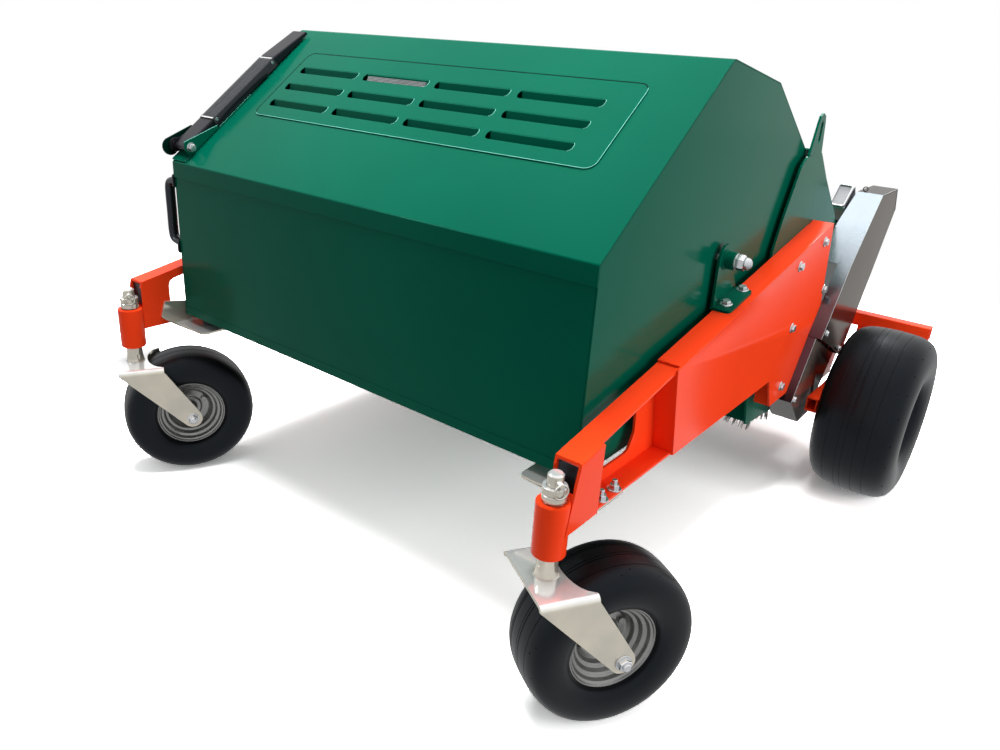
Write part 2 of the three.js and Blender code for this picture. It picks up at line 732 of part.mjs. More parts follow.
function makeArms() {
  const tubeCut = rod(
    'z', kingpinX, kingpinY, bore(kingpinTubeRadius, roundSides), 0, stemTopZ, roundSides);
  const rearFootY = squareTo(armRearY, armBottomZ);
  const profile = [
    [armFrontY - kingpinTubeRadius, armBottomZ],
    [rearFootY, armBottomZ],
    [armRearY, armTopZ(armRearY)],
    [armFrontY, armTopZ(armFrontY)],
  ];
  const innerFrontY = armFrontY - kingpinTubeRadius - overrun;
  const innerRearY = rearFootY + armWidth;
  const inner = [
    [innerFrontY, armBottomZ + armSheet],
    [innerRearY, armBottomZ + armSheet],
    [innerRearY, armTopZ(innerRearY) - armSheet],
    [innerFrontY, armTopZ(innerFrontY) - armSheet],
  ];
  const window = bend([
    [armWindowFrontY, armWindowLowZ],
    [armWindowRearY - armWindowCorner, armWindowLowZ],
    [armWindowRearY, armWindowLowZ + 2 * armWindowCorner],
    [armWindowRearY - armWindowCorner / 2, armTopZ(armWindowRearY) - armWindowCorner - armSheet],
    [armWindowFrontY, armTopZ(armWindowFrontY) - armWindowCorner - armSheet],
  ], armWindowCorner);
  const face = [
    [armFrontY - kingpinTubeRadius, armBottomZ],
    [armFaceEndY, armBottomZ],
    [armFaceEndY, armTopZ(armFaceEndY)],
    [armFrontY, armTopZ(armFrontY)],
  ];
  const channel = plate('x', profile, armInnerX, channelOuterX)
    .subtract(plate('x', inner, armInnerX + armSheet, channelOuterX + overrun))
    .subtract(plate('x', window, armInnerX - overrun, armInnerX + armSheet + overrun))
    .add(plate('x', face, channelOuterX - gap, armOuterX))
    .subtract(tubeCut);
  addPair('arm_channel', channel, 'orange');

  const boxFootY = squareTo(armBoxFrontY, armBottomZ);
  const beamFaceY = beamY - gap;
  const cheekInset = offset(troughLine, -(guardSheet + cheekPlay)).reverse();
  const skirt = [
    [boxFootY, armBottomZ + armSheet],
    [boxFootY, armBottomZ],
    [cheekFrontY, armBottomZ],
    [cheekFrontY + cheekSlant, cheekCornerZ],
    [cheekInset[0][0], cheekCornerZ],
    ...cheekInset,
    [cheekNeckY + cheekRearRise, cheekLowZ],
    [beamFaceY, beamTopZ - beamHeight],
    [beamFaceY, cheekNeckZ],
    [cheekNeckY, cheekNeckZ],
    [squareTo(armRearY, armBottomZ + cheekRearRise), armBottomZ + cheekRearRise],
    [armRearY, armTopZ(armRearY) + boxTopRise],
    [armBoxFrontY, armTopZ(armBoxFrontY) + boxTopRise],
  ];
  const boxTopFrontY = armBoxFrontY + boxTopSetback;
  const topLine = [
    [boxTopFrontY, armTopZ(boxTopFrontY) + gap],
    [armRearY, armTopZ(armRearY) + gap],
  ];
  const frontTopZ = armTopZ(armBoxFrontY) - armSheet - gap;
  const frontPlate = strip([
    [boxFootY, armBottomZ + armSheet + gap],
    [squareTo(armBoxFrontY, frontTopZ), frontTopZ],
  ], -armSheet);
  const shaftHole = circle(rotorY, rotorZ, 2 * rotorShaftRadius, roundSides);
  const cheekFront = rectangle(
    cheekFrontY + cheekSlant, cheekFrontY + cheekSlant + armSheet, cheekCornerZ, armBottomZ - gap);
  const armBox = union(
    plate('x', skirt, armOuterX - armSheet, armOuterX, [shaftHole]),
    plate('x', strip(topLine, armSheet), armInnerX, armOuterX),
    plate('x', frontPlate, armInnerX + armSheet + gap, armOuterX),
    plate('x', cheekFront, armInnerX + 2 * armSheet, armOuterX),
  );
  addPair('arm_box', armBox, 'orange');
}

// Pivot brackets on the arms, and the pins the hopper turns on
const bracketX = armInnerX - bracketOverhang;

function makePivots() {
  const seat = (y) => armTopZ(y) + boxTopRise + gap;
  const front = [bracketFrontY, seat(bracketFrontY)];
  const rear = [bracketRearY, seat(bracketRearY)];
  const crown = arcPoints(pivotY, pivotZ, bracketTopRadius, -0.2, Math.PI * 0.95, bendSteps * 3);
  const pinHole = circle(pivotY, pivotZ, bore(pinRadius));
  const seatRise = (boxTopRise + gap) * Math.cos(armAngle);
  const alongArm = (y) => (y - armFrontY) / Math.cos(armAngle);
  const foot = bend([
    [bracketX, alongArm(bracketFrontY), 0],
    [bracketOuterX, alongArm(bracketFrontY)],
    [bracketOuterX, alongArm(bracketRearY)],
    [bracketX, alongArm(bracketRearY), 0],
  ], bracketCorner);
  const bracket = union(
    plate('x', [front, rear, ...crown], bracketX, bracketX + bracketSheet),
    onArm.sheet(foot, seatRise, seatRise + bracketBase),
    rod('x', pivotY, pivotZ, bossRadius, bracketX, bossEndX, roundSides),
  );
  const pinBore = rod('x', pivotY, pivotZ, bore(pinRadius), bracketX - overrun, bossEndX + overrun);
  addPair('pivot_bracket', bracket.subtract(pinBore), 'green');

  const headX = hopperHalfWidth - hopperSheet - doublerThickness - gap;
  const nutX = bossEndX + gap;
  const pin = union(
    rod('x', pivotY, pivotZ, pinRadius, headX - pinHeadThickness, nutX + nutHeight),
    rod('x', pivotY, pivotZ, pinHeadRadius, headX - pinHeadThickness, headX, roundSides),
    rod('x', pivotY, pivotZ, hexRadius(nutAcross), nutX, nutX + nutHeight, 6),
    turnedX([
      [nutX + nutHeight - gap, 0],
      [nutX + nutHeight - gap, nutAcross / 2 - gap],
      [nutX + nutHeight + nutDome / 2, nutAcross * 0.42],
      [nutX + nutHeight + nutDome, nutAcross * 0.2],
      [nutX + nutHeight + nutDome, 0],
    ], pivotY, pivotZ, smallSides),
  );
  addPair('pivot_pin', pin, 'zinc');
}

// Rests under the hopper's front corners
const restLegX = armInnerX - gap;

function makeRests() {
  const topZ = armBottomZ - gap;
  const shelf = bend([
    [restReachX, restFrontY + restSheet],
    [armOuterX - armSheet, restFrontY],
    [armOuterX - armSheet, restRearY],
    [restReachX, restRearY - restSheet],
  ], 2 * restSheet);
  const leg = [
    [restFrontY, topZ - restSheet],
    [restRearY - armWidth, topZ - restSheet],
    [restRearY - armWidth - restSheet, topZ + armWidth],
    [restFrontY - 4 * restSheet, topZ + armWidth + 2 * restSheet],
    [restFrontY - 6 * restSheet, topZ + armWidth - 5 * restSheet],
  ];
  const rest = plate('z', shelf, topZ - restSheet, topZ)
    .add(plate('x', bend(leg, restSheet), restLegX - restSheet, restLegX));
  addPair('buffer_bracket', rest, 'zinc');
  const buffer = rod('z', bufferX, bufferY, bufferRadius, topZ + gap, hopperFloorZ - gap, roundSides);
  addPair('rubber_buffer', buffer, 'rubber');
}

makeArms();
makePivots();
makeRests();

// Rotor housing. Outline tables are shares of the brush radius, from the rotor's axis
const housingInnerX = hopperHalfWidth + housingPlay;
const housingOuterX = housingInnerX + housingSheet;
const aboutRotor = (shares) => shares.map(([y, z, r]) => [
  rotorY + y * brushRadius, rotorZ + z * brushRadius, r === undefined ? 0 : r * brushRadius]);
const hoodShares = [[0.016, 2.957], [0.838, 2.346], [1.649, 1.362], [1.703, -0.314]];
const sideShares = [
  [-1.389, -0.351, 0.05], [1.72, -0.654, 0.05], [1.72, 1.39, 0.3], [0.87, 2.375, 0.2], [0.02, 3.0, 0.2],
  [-0.46, 3.4, 0.1],
];
const sideFrontShares = [
  [-0.99, 3.37, 0.12], [-1.17, 3.27, 0.2], [-1.497, 2.638, 0.3], [-1.665, 2.222, 0.2], [-1.76, 0.72, 0.2],
];

function makeHousing() {
  const hoodX = housingInnerX - gap;
  const hoodFront = [
    pivotY + (mouthRadius + mouthClearance) * Math.cos(mouthLipTurn),
    pivotZ + (mouthRadius + mouthClearance) * Math.sin(mouthLipTurn),
  ];
  const hoodLine = bend([hoodFront, ...aboutRotor(hoodShares)], 4 * hoodSheet, false);
  const hood = plate('x', strip(hoodLine, -hoodSheet), -hoodX, hoodX);
  add('rotor_hood', union(hood, ...hoodBrackets()), 'green');

  const scoopTop = [
    pivotY + (mouthRadius + mouthClearance) * Math.cos(floorTurn),
    pivotZ + (mouthRadius + mouthClearance) * Math.sin(floorTurn) + hoodSheet,
  ];
  const scoopFoot = aboutRotor([sideShares[0]])[0];
  const scoopLine = [scoopTop, [scoopFoot[0] + 2 * hoodSheet, scoopFoot[1] + hoodSheet]];
  add('scoop_plate', plate('x', strip(scoopLine, hoodSheet), -hoodX, hoodX), 'green');

  const lug = [
    [lugTopY + 1.75 * lugRadius, rotorZ + 3.38 * brushRadius],
    ...arcPoints(lugTopY, lugTopZ, lugRadius, 0, Math.PI, 2 * bendSteps),
    [lugTopY - 2 * lugRadius, rotorZ + 3.38 * brushRadius],
  ];
  const slot = [
    ...arcPoints(lugTopY, lugTopZ, lugSlotHalfWidth, 0, Math.PI, bendSteps),
    ...arcPoints(lugTopY, lugSlotLow, lugSlotHalfWidth, Math.PI, 2 * Math.PI, bendSteps),
  ];
  const shaftHole = circle(rotorY, rotorZ, 2 * rotorShaftRadius, roundSides);
  const outline = bend([...aboutRotor(sideShares), ...aboutRotor(sideFrontShares)], 0);
  const side = plate('x', outline, housingInnerX, housingOuterX, [shaftHole])
    .add(plate('x', lug, housingInnerX, housingOuterX))
    .subtract(plate('x', slot, housingInnerX - overrun, housingOuterX + overrun));
  addPair('housing_side', side, 'green');

  const faceX = housingOuterX + gap;
  const bearing = turnedX([
    [faceX, rotorShaftRadius + gap * 2],
    [faceX, bearingRadius],
    [faceX + bearingFlange, bearingRadius],
    [faceX + bearingFlange, bearingRadius * 0.72],
    [faceX + bearingHub, bearingRadius * 0.6],
    [faceX + bearingHub, rotorShaftRadius + gap * 2],
    [faceX, rotorShaftRadius + gap * 2],
  ], rotorY, rotorZ);
  addPair('rotor_bearing', bearing, 'cast');
}

// Cross drive: gearbox and its tube, the bearing block, and the brackets that carry them on the hood
const onBlock = slopeFrame(driveY, driveZ, blockTilt);

function hoodSlopeY(z) {
  const [upper, lower] = [aboutRotor(hoodShares)[1], aboutRotor(hoodShares)[2]];
  return upper[0] + ((upper[1] - z) / (upper[1] - lower[1])) * (lower[0] - upper[0]);
}

function hoodBrackets() {
  const shelfTop = driveZ - gearboxHalfHeight - gap;
  const shelfRearY = driveY + gearboxHalfDepth + shelfSheet;
  const root = 2 * hoodSheet;
  const shelf = box(
    -gearboxHalfWidth, gearboxHalfWidth, hoodSlopeY(shelfTop) - hoodSheet / 2, shelfRearY,
    shelfTop - shelfSheet, shelfTop);
  const knee = aboutRotor(hoodShares)[2];
  const shelfGusset = [
    [hoodSlopeY(shelfTop) - hoodSheet / 2, shelfTop - hoodSheet],
    [shelfRearY, shelfTop - hoodSheet],
    [shelfRearY, shelfTop - 3 * shelfSheet],
    [knee[0] - hoodSheet / 2, knee[1] + root],
  ];
  const gussetXs = [-gearboxHalfWidth, gearboxHalfWidth - shelfSheet];
  const base = -blockLow - gap;
  const pad = onBlock.profile(
    rectangle(-blockHalfLength, blockHalfLength + 2 * shelfSheet, base - shelfSheet, base),
    blockInnerX, blockInnerX + blockWidth);
  const high = driveZ - blockLow * 2.6;
  const blockGusset = [
    [hoodSlopeY(high) - hoodSheet / 2, high],
    onBlock.at(-blockHalfLength, base - shelfSheet / 2),
    onBlock.at(blockHalfLength + 2 * shelfSheet, base - shelfSheet / 2),
    onBlock.at(blockHalfLength + 2 * shelfSheet, base - 4 * shelfSheet),
    [knee[0] - hoodSheet / 2, knee[1] + root],
  ];
  const blockXs = [blockInnerX, blockInnerX + blockWidth - shelfSheet];
  return [
    shelf,
    ...gussetXs.map((x) => plate('x', shelfGusset, x, x + shelfSheet)),
    pad,
    ...blockXs.map((x) => plate('x', blockGusset, x, x + shelfSheet)),
  ];
}

function makeCrossDrive() {
  const w = gearboxHalfWidth;
  const d = gearboxHalfDepth;
  const h = gearboxHalfHeight;
  const shell = rectangle(driveY - d, driveY + d, driveZ - h, driveZ + h);
  const inputEnd = driveY + d + crossFlange;
  const shaftBore = bore(driveShaftRadius);
  const ptoBore = bore(ptoRadius);
  const ptoInner = driveY + driveShaftRadius + overrun;
  const body = union(
    plate('x', bend(shell, gearboxChamfer), -w, w),
    rod('x', driveY, driveZ, crossFlangeRadius, w - overrun, w + crossFlange, roundSides),
    rod('x', driveY, driveZ, crossTubeRadius, w, crossTubeEndX, roundSides),
    rod('x', driveY, driveZ, crossFlangeRadius, crossTubeEndX - crossFlange, crossTubeEndX, roundSides),
    rod('y', 0, driveZ, crossFlangeRadius, driveY + d - overrun, inputEnd, roundSides),
  )
    .subtract(rod('x', driveY, driveZ, shaftBore, -w + 2 * overrun, crossTubeEndX + overrun))
    .subtract(rod('x', driveY, driveZ, crossTubeBore, w + crossFlange, crossTubeEndX + overrun, roundSides))
    .subtract(rod('y', 0, driveZ, ptoBore, ptoInner, inputEnd + overrun));
  add('gearbox_housing', body, 'cast');

  const face = rectangle(-blockHalfLength, blockHalfLength, -blockLow, blockHigh);
  const recess = rectangle(
    -blockHalfLength + blockRim, blockHalfLength - blockRim, blockHigh - blockRim, blockHigh + overrun);
  const block = onBlock.profile(bend(face, blockRim), blockInnerX, blockInnerX + blockWidth)
    .subtract(onBlock.profile(recess, blockInnerX + blockRim, blockInnerX + blockWidth - blockRim))
    .subtract(rod('x', driveY, driveZ, shaftBore, blockInnerX - overrun, blockInnerX + blockWidth + overrun));
  add('bearing_block', block, 'cast');

  const shaft = rod('x', driveY, driveZ, driveShaftRadius, -w + 2 * overrun + gap, pulleyEndX());
  add('cross_shaft', shaft, 'steel');

  const splinePoints = [];
  for (let i = 0; i < 4 * ptoSplines; i++) {
    const turn = (2 * Math.PI * (i + 0.5)) / (4 * ptoSplines);
    const radius = i % 4 < 2 ? ptoRadius : ptoRadius * 0.84;
    splinePoints.push([radius * Math.cos(turn), driveZ + radius * Math.sin(turn)]);
  }
  add('pto_shaft', plate('y', splinePoints, ptoInner + gap, inputEnd + ptoLength), 'steel');
}

// Rotor: shaft, bristle rows in a shallow V, and the belt pulleys
const guardInnerX = armOuterX + gap;
const pulleyX = guardInnerX + pulleyInset;

function pulleyEndX() {
  return pulleyX + pulleyWidth;
}

function makePulley(name, y, z, radius, shaftRadius) {
  const rim = radius + pulleyLip;
  const inner = (shaftRadius + gap) / Math.cos(Math.PI / roundSides);
  const x0 = pulleyX;
  const x1 = pulleyEndX();
  add(name, turnedX([
    [x0, inner],
    [x0, rim],
    [x0 + pulleyFlange, rim],
    [x0 + pulleyFlange, radius],
    [x1 - pulleyFlange, radius],
    [x1 - pulleyFlange, rim],
    [x1, rim],
    [x1, inner],
    [x0, inner],
  ], y, z), 'steel');
}

function makeRotor() {
  const shaftStart = -housingOuterX - bearingHub - gap;
  add('rotor_shaft', rod('x', rotorY, rotorZ, rotorShaftRadius, shaftStart, pulleyEndX()), 'steel');

  const section = [];
  for (let row = 0; row < brushRows; row++) {
    const turn = (2 * Math.PI * row) / brushRows;
    section.push(...[
      [-brushRootHalfAngle, brushCoreRadius],
      [-brushTipHalfAngle, brushRadius],
      [brushTipHalfAngle, brushRadius],
      [brushRootHalfAngle, brushCoreRadius],
    ].map(([lean, radius]) => [radius * Math.cos(turn + lean), radius * Math.sin(turn + lean)]));
  }
  const settings = { depth: 2 * brushHalfLength, bevelEnabled: false, steps: brushSteps };
  const geometry = new THREE.ExtrudeGeometry(shapeOf(section), settings);
  geometry.translate(0, 0, -brushHalfLength);
  const place = geometry.attributes.position;
  for (let i = 0; i < place.count; i++) {
    const twist = brushTwist * Math.abs(place.getZ(i) / brushHalfLength);
    const [u, v] = [place.getX(i), place.getY(i)];
    place.setXY(i, u * Math.cos(twist) - v * Math.sin(twist), u * Math.sin(twist) + v * Math.cos(twist));
  }
  geometry.applyMatrix4(planes.x).translate(0, rotorY, rotorZ);
  const end = brushHalfLength + overrun;
  const hole = rod('x', rotorY, rotorZ, bore(rotorShaftRadius), -end, end);
  add('rotor_brush', solid(geometry).subtract(hole), 'bristle');
  makePulley('rotor_pulley', rotorY, rotorZ, rotorPulleyRadius, rotorShaftRadius);
  makePulley('drive_pulley', driveY, driveZ, drivePulleyRadius, driveShaftRadius);
}

// Belt round both pulleys, on the outer tangents
function beltLoop(lowRadius, highRadius) {
  const run = new THREE.Vector2(driveY - rotorY, driveZ - rotorZ);
  const lean = run.angle();
  const wrap = Math.acos((lowRadius - highRadius) / run.length());
  return [
    ...arcPoints(rotorY, rotorZ, lowRadius, lean + wrap, lean + 2 * Math.PI - wrap, roundSides),
    ...arcPoints(driveY, driveZ, highRadius, lean - wrap, lean + wrap, smallSides),
  ];
}

function makeBelt() {
  const inner = gap * 2;
  const x0 = pulleyX + pulleyFlange + gap;
  const x1 = pulleyEndX() - pulleyFlange - gap;
  const outer = inner + beltThickness;
  const outside = beltLoop(rotorPulleyRadius + outer, drivePulleyRadius + outer);
  const inside = beltLoop(rotorPulleyRadius + inner, drivePulleyRadius + inner);
  add('drive_belt', plate('x', outside, x0, x1, [inside]), 'rubber');
}

// Belt guards: a side face with a folded wall round it
function guardShell(shares, faceX, backX) {
  const line = aboutBelt(shares);
  const wall = strip(line, -guardSheet);
  return plate('x', line, faceX - guardSheet, faceX).add(plate('x', wall, backX, faceX));
}

function makeGuards() {
  add('upper_belt_guard', guardShell(upperGuardShares, upperGuardX, guardInnerX), 'stainless');
  const trough = plate('x', strip(troughLine, -guardSheet), housingOuterX + gap, lowerGuardX);
  add('lower_belt_guard', guardShell(lowerGuardShares, lowerGuardX, guardInnerX).add(trough), 'black');
}

// Rear frame: cross beam, wheel arms with stub axles, and the three-point headstock
function openTube(axis, u0, u1, v0, v1, from, to, wall) {
  const outer = rectangle(u0, u1, v0, v1);
  return plate(axis, outer, from, to, [rectangle(u0 + wall, u1 - wall, v0 + wall, v1 - wall)]);
}


function makeRearFrame() {
  const beamLowZ = beamTopZ - beamHeight;
  const beam = openTube(
    'x', beamY, beamY + beamDepth, beamLowZ, beamTopZ, -beamHalfLength, beamHalfLength, beamWall);
  add('rear_beam', beam, 'orange');

  const x0 = wheelArmInnerX;
  const x1 = wheelArmInnerX + wheelArmWidth;
  const lowZ = wheelArmTopZ - wheelArmHeight;
  const rearY = beamY + beamDepth;
  const hubEnd = rearWheelX + rimHubOuter + gap;
  const gusset = [
    [beamY - wheelArmGusset, wheelArmTopZ - beamWall / 2],
    [beamY + beamWall, wheelArmTopZ - beamWall / 2],
    [beamY + beamWall, beamLowZ - gap],
    [beamY - wheelArmGusset / 2, beamLowZ - gap],
  ];
  const arm = union(
    openTube('y', x0, x1, lowZ, wheelArmTopZ, wheelArmFrontY, rearY, beamWall),
    plate('x', gusset, x1 - beamWall, x1),
    openTube('z', x0, x1, beamY, rearY, wheelArmTopZ - beamWall / 2, beamLowZ - gap, beamWall),
    rod('x', rearWheelY, rearTyreRadius, axleShoulder, x0, axleShoulderX, roundSides),
    rod('x', rearWheelY, rearTyreRadius, axleStubRadius, x1, hubEnd + axleNutHeight, roundSides),
    rod('x', rearWheelY, rearTyreRadius, hexRadius(axleNutAcross), hubEnd, hubEnd + axleNutHeight, 6),
  );
  addPair('wheel_arm', arm, 'orange');
}

function makeHeadstock() {
  const faceY = beamY + beamDepth + gap;
  const pinY = faceY + hitchReach - 3 * hitchPlate;
  const pinZ = beamTopZ - beamHeight / 2;
  const topZ = pinZ + mastHeight;
  const legFootX = lowerPinHalfSpan;
  const parts = [];
  for (const side of [-1, 1]) {
    const legEnds = [[side * legFootX, pinZ], [side * 2 * hitchPlate, topZ]];
    const legLine = side > 0 ? legEnds : legEnds.reverse();
    parts.push(plate('y', strip(legLine, -4 * hitchPlate), faceY, faceY + hitchPlate));
    const cheek = bend([
      [faceY, pinZ - 3 * hitchPlate, 0],
      [pinY + 3 * hitchPlate, pinZ - 3 * hitchPlate],
      [pinY + 3 * hitchPlate, pinZ + 3 * hitchPlate],
      [faceY, pinZ + 5 * hitchPlate, 0],
    ], hitchPlate);
    const cheekXs = [lowerPinHalfSpan - 3 * hitchPlate, lowerPinHalfSpan + 2 * hitchPlate];
    for (const x of cheekXs) {
      const faces = [side * x, side * (x + hitchPlate)];
      parts.push(plate('x', cheek, Math.min(...faces), Math.max(...faces)));
    }
    const pinEnds = [cheekXs[0] - hitchPlate, cheekXs[1] + 2 * hitchPlate].map((x) => side * x);
    parts.push(rod('x', pinY, pinZ, lowerPinRadius, Math.min(...pinEnds), Math.max(...pinEnds)));
    const ear = bend([
      [faceY, topZ - 4 * hitchPlate, 0],
      [pinY + 2 * hitchPlate, topZ - 3 * hitchPlate],
      [pinY + 2 * hitchPlate, topZ + 2 * hitchPlate],
      [faceY, topZ + 2 * hitchPlate, 0],
    ], hitchPlate);
    const earX = side > 0 ? 2 * hitchPlate : -3 * hitchPlate;
    parts.push(plate('x', ear, earX, earX + hitchPlate));
  }
  const faceRearY = faceY + hitchPlate;
  const crossLow = box(-legFootX, legFootX, faceY, faceRearY, beamTopZ - beamHeight, beamTopZ);
  const crossTop = box(
    -3 * hitchPlate, 3 * hitchPlate, faceY, faceRearY, topZ - 4 * hitchPlate, topZ + 2 * hitchPlate);
  parts.push(crossLow, crossTop, rod('x', pinY, topZ, topPinRadius, -4 * hitchPlate, 4 * hitchPlate));
  add('headstock', union(...parts), 'orange');
}

makeHousing();
makeCrossDrive();
makeRotor();
makeBelt();
makeGuards();
makeRearFrame();
makeHeadstock();

// Wheels are turned about X; side is +1 where the valve face looks towards +X
const tyreShares = [[-0.36, 0], [-0.47, 0.18], [-0.5, 0.48], [-0.455, 0.78], [-0.31, 0.955], [-0.1, 1]];
const beadShare = 0.36;

function tyreProfile(width, radius, bead) {
  const half = tyreShares.map(([x, r]) => [x * width, bead + r * (radius - bead)]);
  const other = [...half].reverse().map(([x, r]) => [-x, r]);
  return [...half, ...other, half[0]];
}

function rimBody(width, flangeRadius, barrelRadius, hubRadius, hubFrom, hubTo, boreRadius, discX) {
  const halfSeat = beadShare * width - gap;
  const barrel = wheelX([
    [-halfSeat, flangeRadius],
    [-halfSeat, flangeRadius - rimWall],
    [-halfSeat + rimWall, barrelRadius - rimWall],
    [halfSeat - rimWall, barrelRadius - rimWall],
    [halfSeat, flangeRadius - rimWall],
    [halfSeat, flangeRadius],
    [halfSeat - 2 * rimWall, barrelRadius],
    [-halfSeat + 2 * rimWall, barrelRadius],
    [-halfSeat, flangeRadius],
  ]);
  const disc = wheelX([
    [discX - rimWall / 2, 0],
    [discX - rimWall / 2, barrelRadius - rimWall / 2],
    [discX + rimWall / 2, barrelRadius - rimWall / 2],
    [discX + rimWall / 2, 0],
  ]);
  return union(barrel, disc, rod('x', 0, 0, hubRadius, hubFrom, hubTo, roundSides))
    .subtract(rod('x', 0, 0, bore(boreRadius), hubFrom - overrun, hubTo + overrun));
}

function makeRearWheels() {
  const hubInner = axleShoulderX + gap - rearWheelX;
  const tyre = wheelX(tyreProfile(rearTyreWidth, rearTyreRadius, rearRimRadius));
  const rim = rimBody(
    rearTyreWidth, rearRimRadius - gap, rearRimRadius - 3 * rimWall, 2 * axleStubRadius,
    hubInner, rimHubOuter, axleStubRadius, rimHubOuter / 2);
  for (const [name, body, finish] of [['rear_tyre', tyre, 'rubber'], ['rear_rim', rim, 'rim']]) {
    for (const [mesh, sign] of addPair(name, body, finish).map((mesh, i) => [mesh, 1 - 2 * i])) {
      mesh.position.set(sign * rearWheelX, rearWheelY, rearTyreRadius);
    }
  }
}

// Castor: local frame on the kingpin axis, +Y trailing
function makeCastors() {
  const innerX = forkHalfWidth - forkSheet;
  const plateLow = forkTopZ - forkSheet;
  const notch = arcPoints(0, forkRearReach, forkNotch, Math.PI, 2 * Math.PI, 2 * bendSteps)
    .map(([x, y]) => [x * (castorTyreWidth / (2 * forkNotch)), y]);
  const top = [
    [-forkHalfWidth, -forkFrontReach], [forkHalfWidth, -forkFrontReach], [forkHalfWidth, forkRearReach],
    ...notch.reverse(),
    [-forkHalfWidth, forkRearReach],
  ];
  const leg = [
    [-forkFrontReach, forkTopZ - forkBend],
    [-forkFrontReach + forkBend, forkTopZ],
    [forkRearReach - forkBend, forkTopZ],
    [forkRearReach, forkTopZ - forkBend],
    ...arcPoints(
      castorTrail, castorTyreRadius, forkTipRadius, Math.PI * 0.12, -Math.PI * 0.88, 3 * bendSteps),
  ];
  const axleHole = circle(castorTrail, castorTyreRadius, bore(axleRadius));
  const collarLow = kingpinTubeHigh + gap;
  const linchZ = collarLow + collarHeight + 2 * linchRadius;
  const fork = union(
    plate('z', top, plateLow, forkTopZ),
    plate('x', leg, innerX, forkHalfWidth, [axleHole]),
    plate('x', leg, -forkHalfWidth, -innerX, [axleHole]),
    rod('z', 0, 0, stemRadius, plateLow, kingpinTubeHigh, roundSides),
    rod('z', 0, 0, stemRadius * 1.3, plateLow, forkTopZ + forkSheet, roundSides),
    rod('z', 0, 0, stemTopRadius, kingpinTubeHigh - overrun, stemTopZ, roundSides),
  ).subtract(rod('x', 0, linchZ, bore(linchRadius), -forkHalfWidth, forkHalfWidth));

  const waist = collarRadius - collarWaist;
  const ring = new THREE.LatheGeometry([
    [stemTopRadius + 2 * gap, 0], [collarRadius, 0], [collarRadius, 0.42], [waist, 0.46], [waist, 0.5],
    [collarRadius, 0.54], [collarRadius, 1], [stemTopRadius + 2 * gap, 1], [stemTopRadius + 2 * gap, 0],
  ].map(([r, share]) => new THREE.Vector2(r, collarLow + share * collarHeight)), roundSides);
  const collar = solid(ring.rotateX(Math.PI / 2));

  const ringX = collarRadius + gap + linchWire;
  const loop = new THREE.TorusGeometry(linchRingRadius, linchWire, ringSides, smallSides);
  loop.rotateY(Math.PI / 2).translate(ringX, 0, linchZ - linchRingRadius + linchWire);
  const linch = union(
    rod('x', 0, linchZ, linchRadius, -collarRadius, ringX + linchWire),
    solid(loop),
  );

  const boltEnd = forkHalfWidth + gap;
  const onAxle = (radius, from, to, sides) => rod(
    'x', castorTrail, castorTyreRadius, radius, from, to, sides);
  const hex = hexRadius(axleHexAcross);
  const axle = union(
    onAxle(axleRadius, -boltEnd - axleRadius, boltEnd + 2 * axleRadius),
    onAxle(hex, -boltEnd - axleRadius * 1.25, -boltEnd, 6),
    onAxle(hex, boltEnd, boltEnd + axleRadius * 1.5, 6),
  );

  const tyre = wheelX(tyreProfile(castorTyreWidth, castorTyreRadius, castorRimRadius));
  const rim = rimBody(
    castorTyreWidth, castorRimRadius - gap, castorRimRadius - 3 * rimWall, 2 * axleRadius,
    -innerX + gap, innerX - gap, axleRadius, 0);

  const tube = new THREE.LatheGeometry([
    [stemRadius + gap * 2, kingpinTubeLow], [kingpinTubeRadius, kingpinTubeLow],
    [kingpinTubeRadius, kingpinTubeHigh], [stemRadius + gap * 2, kingpinTubeHigh],
    [stemRadius + gap * 2, kingpinTubeLow],
  ].map(([r, z]) => new THREE.Vector2(r, z)), roundSides).rotateX(Math.PI / 2);

  for (const [side, sign] of [['right', 1], ['left', -1]]) {
    const castor = new THREE.Group();
    castor.position.set(sign * kingpinX, kingpinY, 0);
    machine.add(castor);
    add(`kingpin_tube_${side}`, solid(tube), 'orange', castor);
    const swivel = new THREE.Group();
    swivel.rotation.z = -THREE.MathUtils.degToRad(castorSwivel[side]);
    castor.add(swivel);
    add(`castor_fork_${side}`, fork, 'zinc', swivel);
    add(`castor_collar_${side}`, collar, 'zinc', swivel);
    add(`linch_pin_${side}`, linch, 'zinc', swivel);
    add(`castor_axle_${side}`, axle, 'zinc', swivel);
    for (const [name, body, finish] of [['castor_tyre', tyre, 'rubber'], ['castor_rim', rim, 'rim']]) {
      add(`${name}_${side}`, body, finish, swivel).position.set(0, castorTrail, castorTyreRadius);
    }
  }
}

makeRearWheels();
makeCastors();

// The origin is the bottom centre of the whole machine
machine.updateMatrixWorld(true);
const bounds = new THREE.Box3().setFromObject(machine);
const middle = bounds.getCenter(new THREE.Vector3());
machine.position.set(-middle.x, -middle.y, -bounds.min.z);

export default group;
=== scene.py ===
import math
import random

import bmesh
import bpy
from mathutils import Matrix, Vector


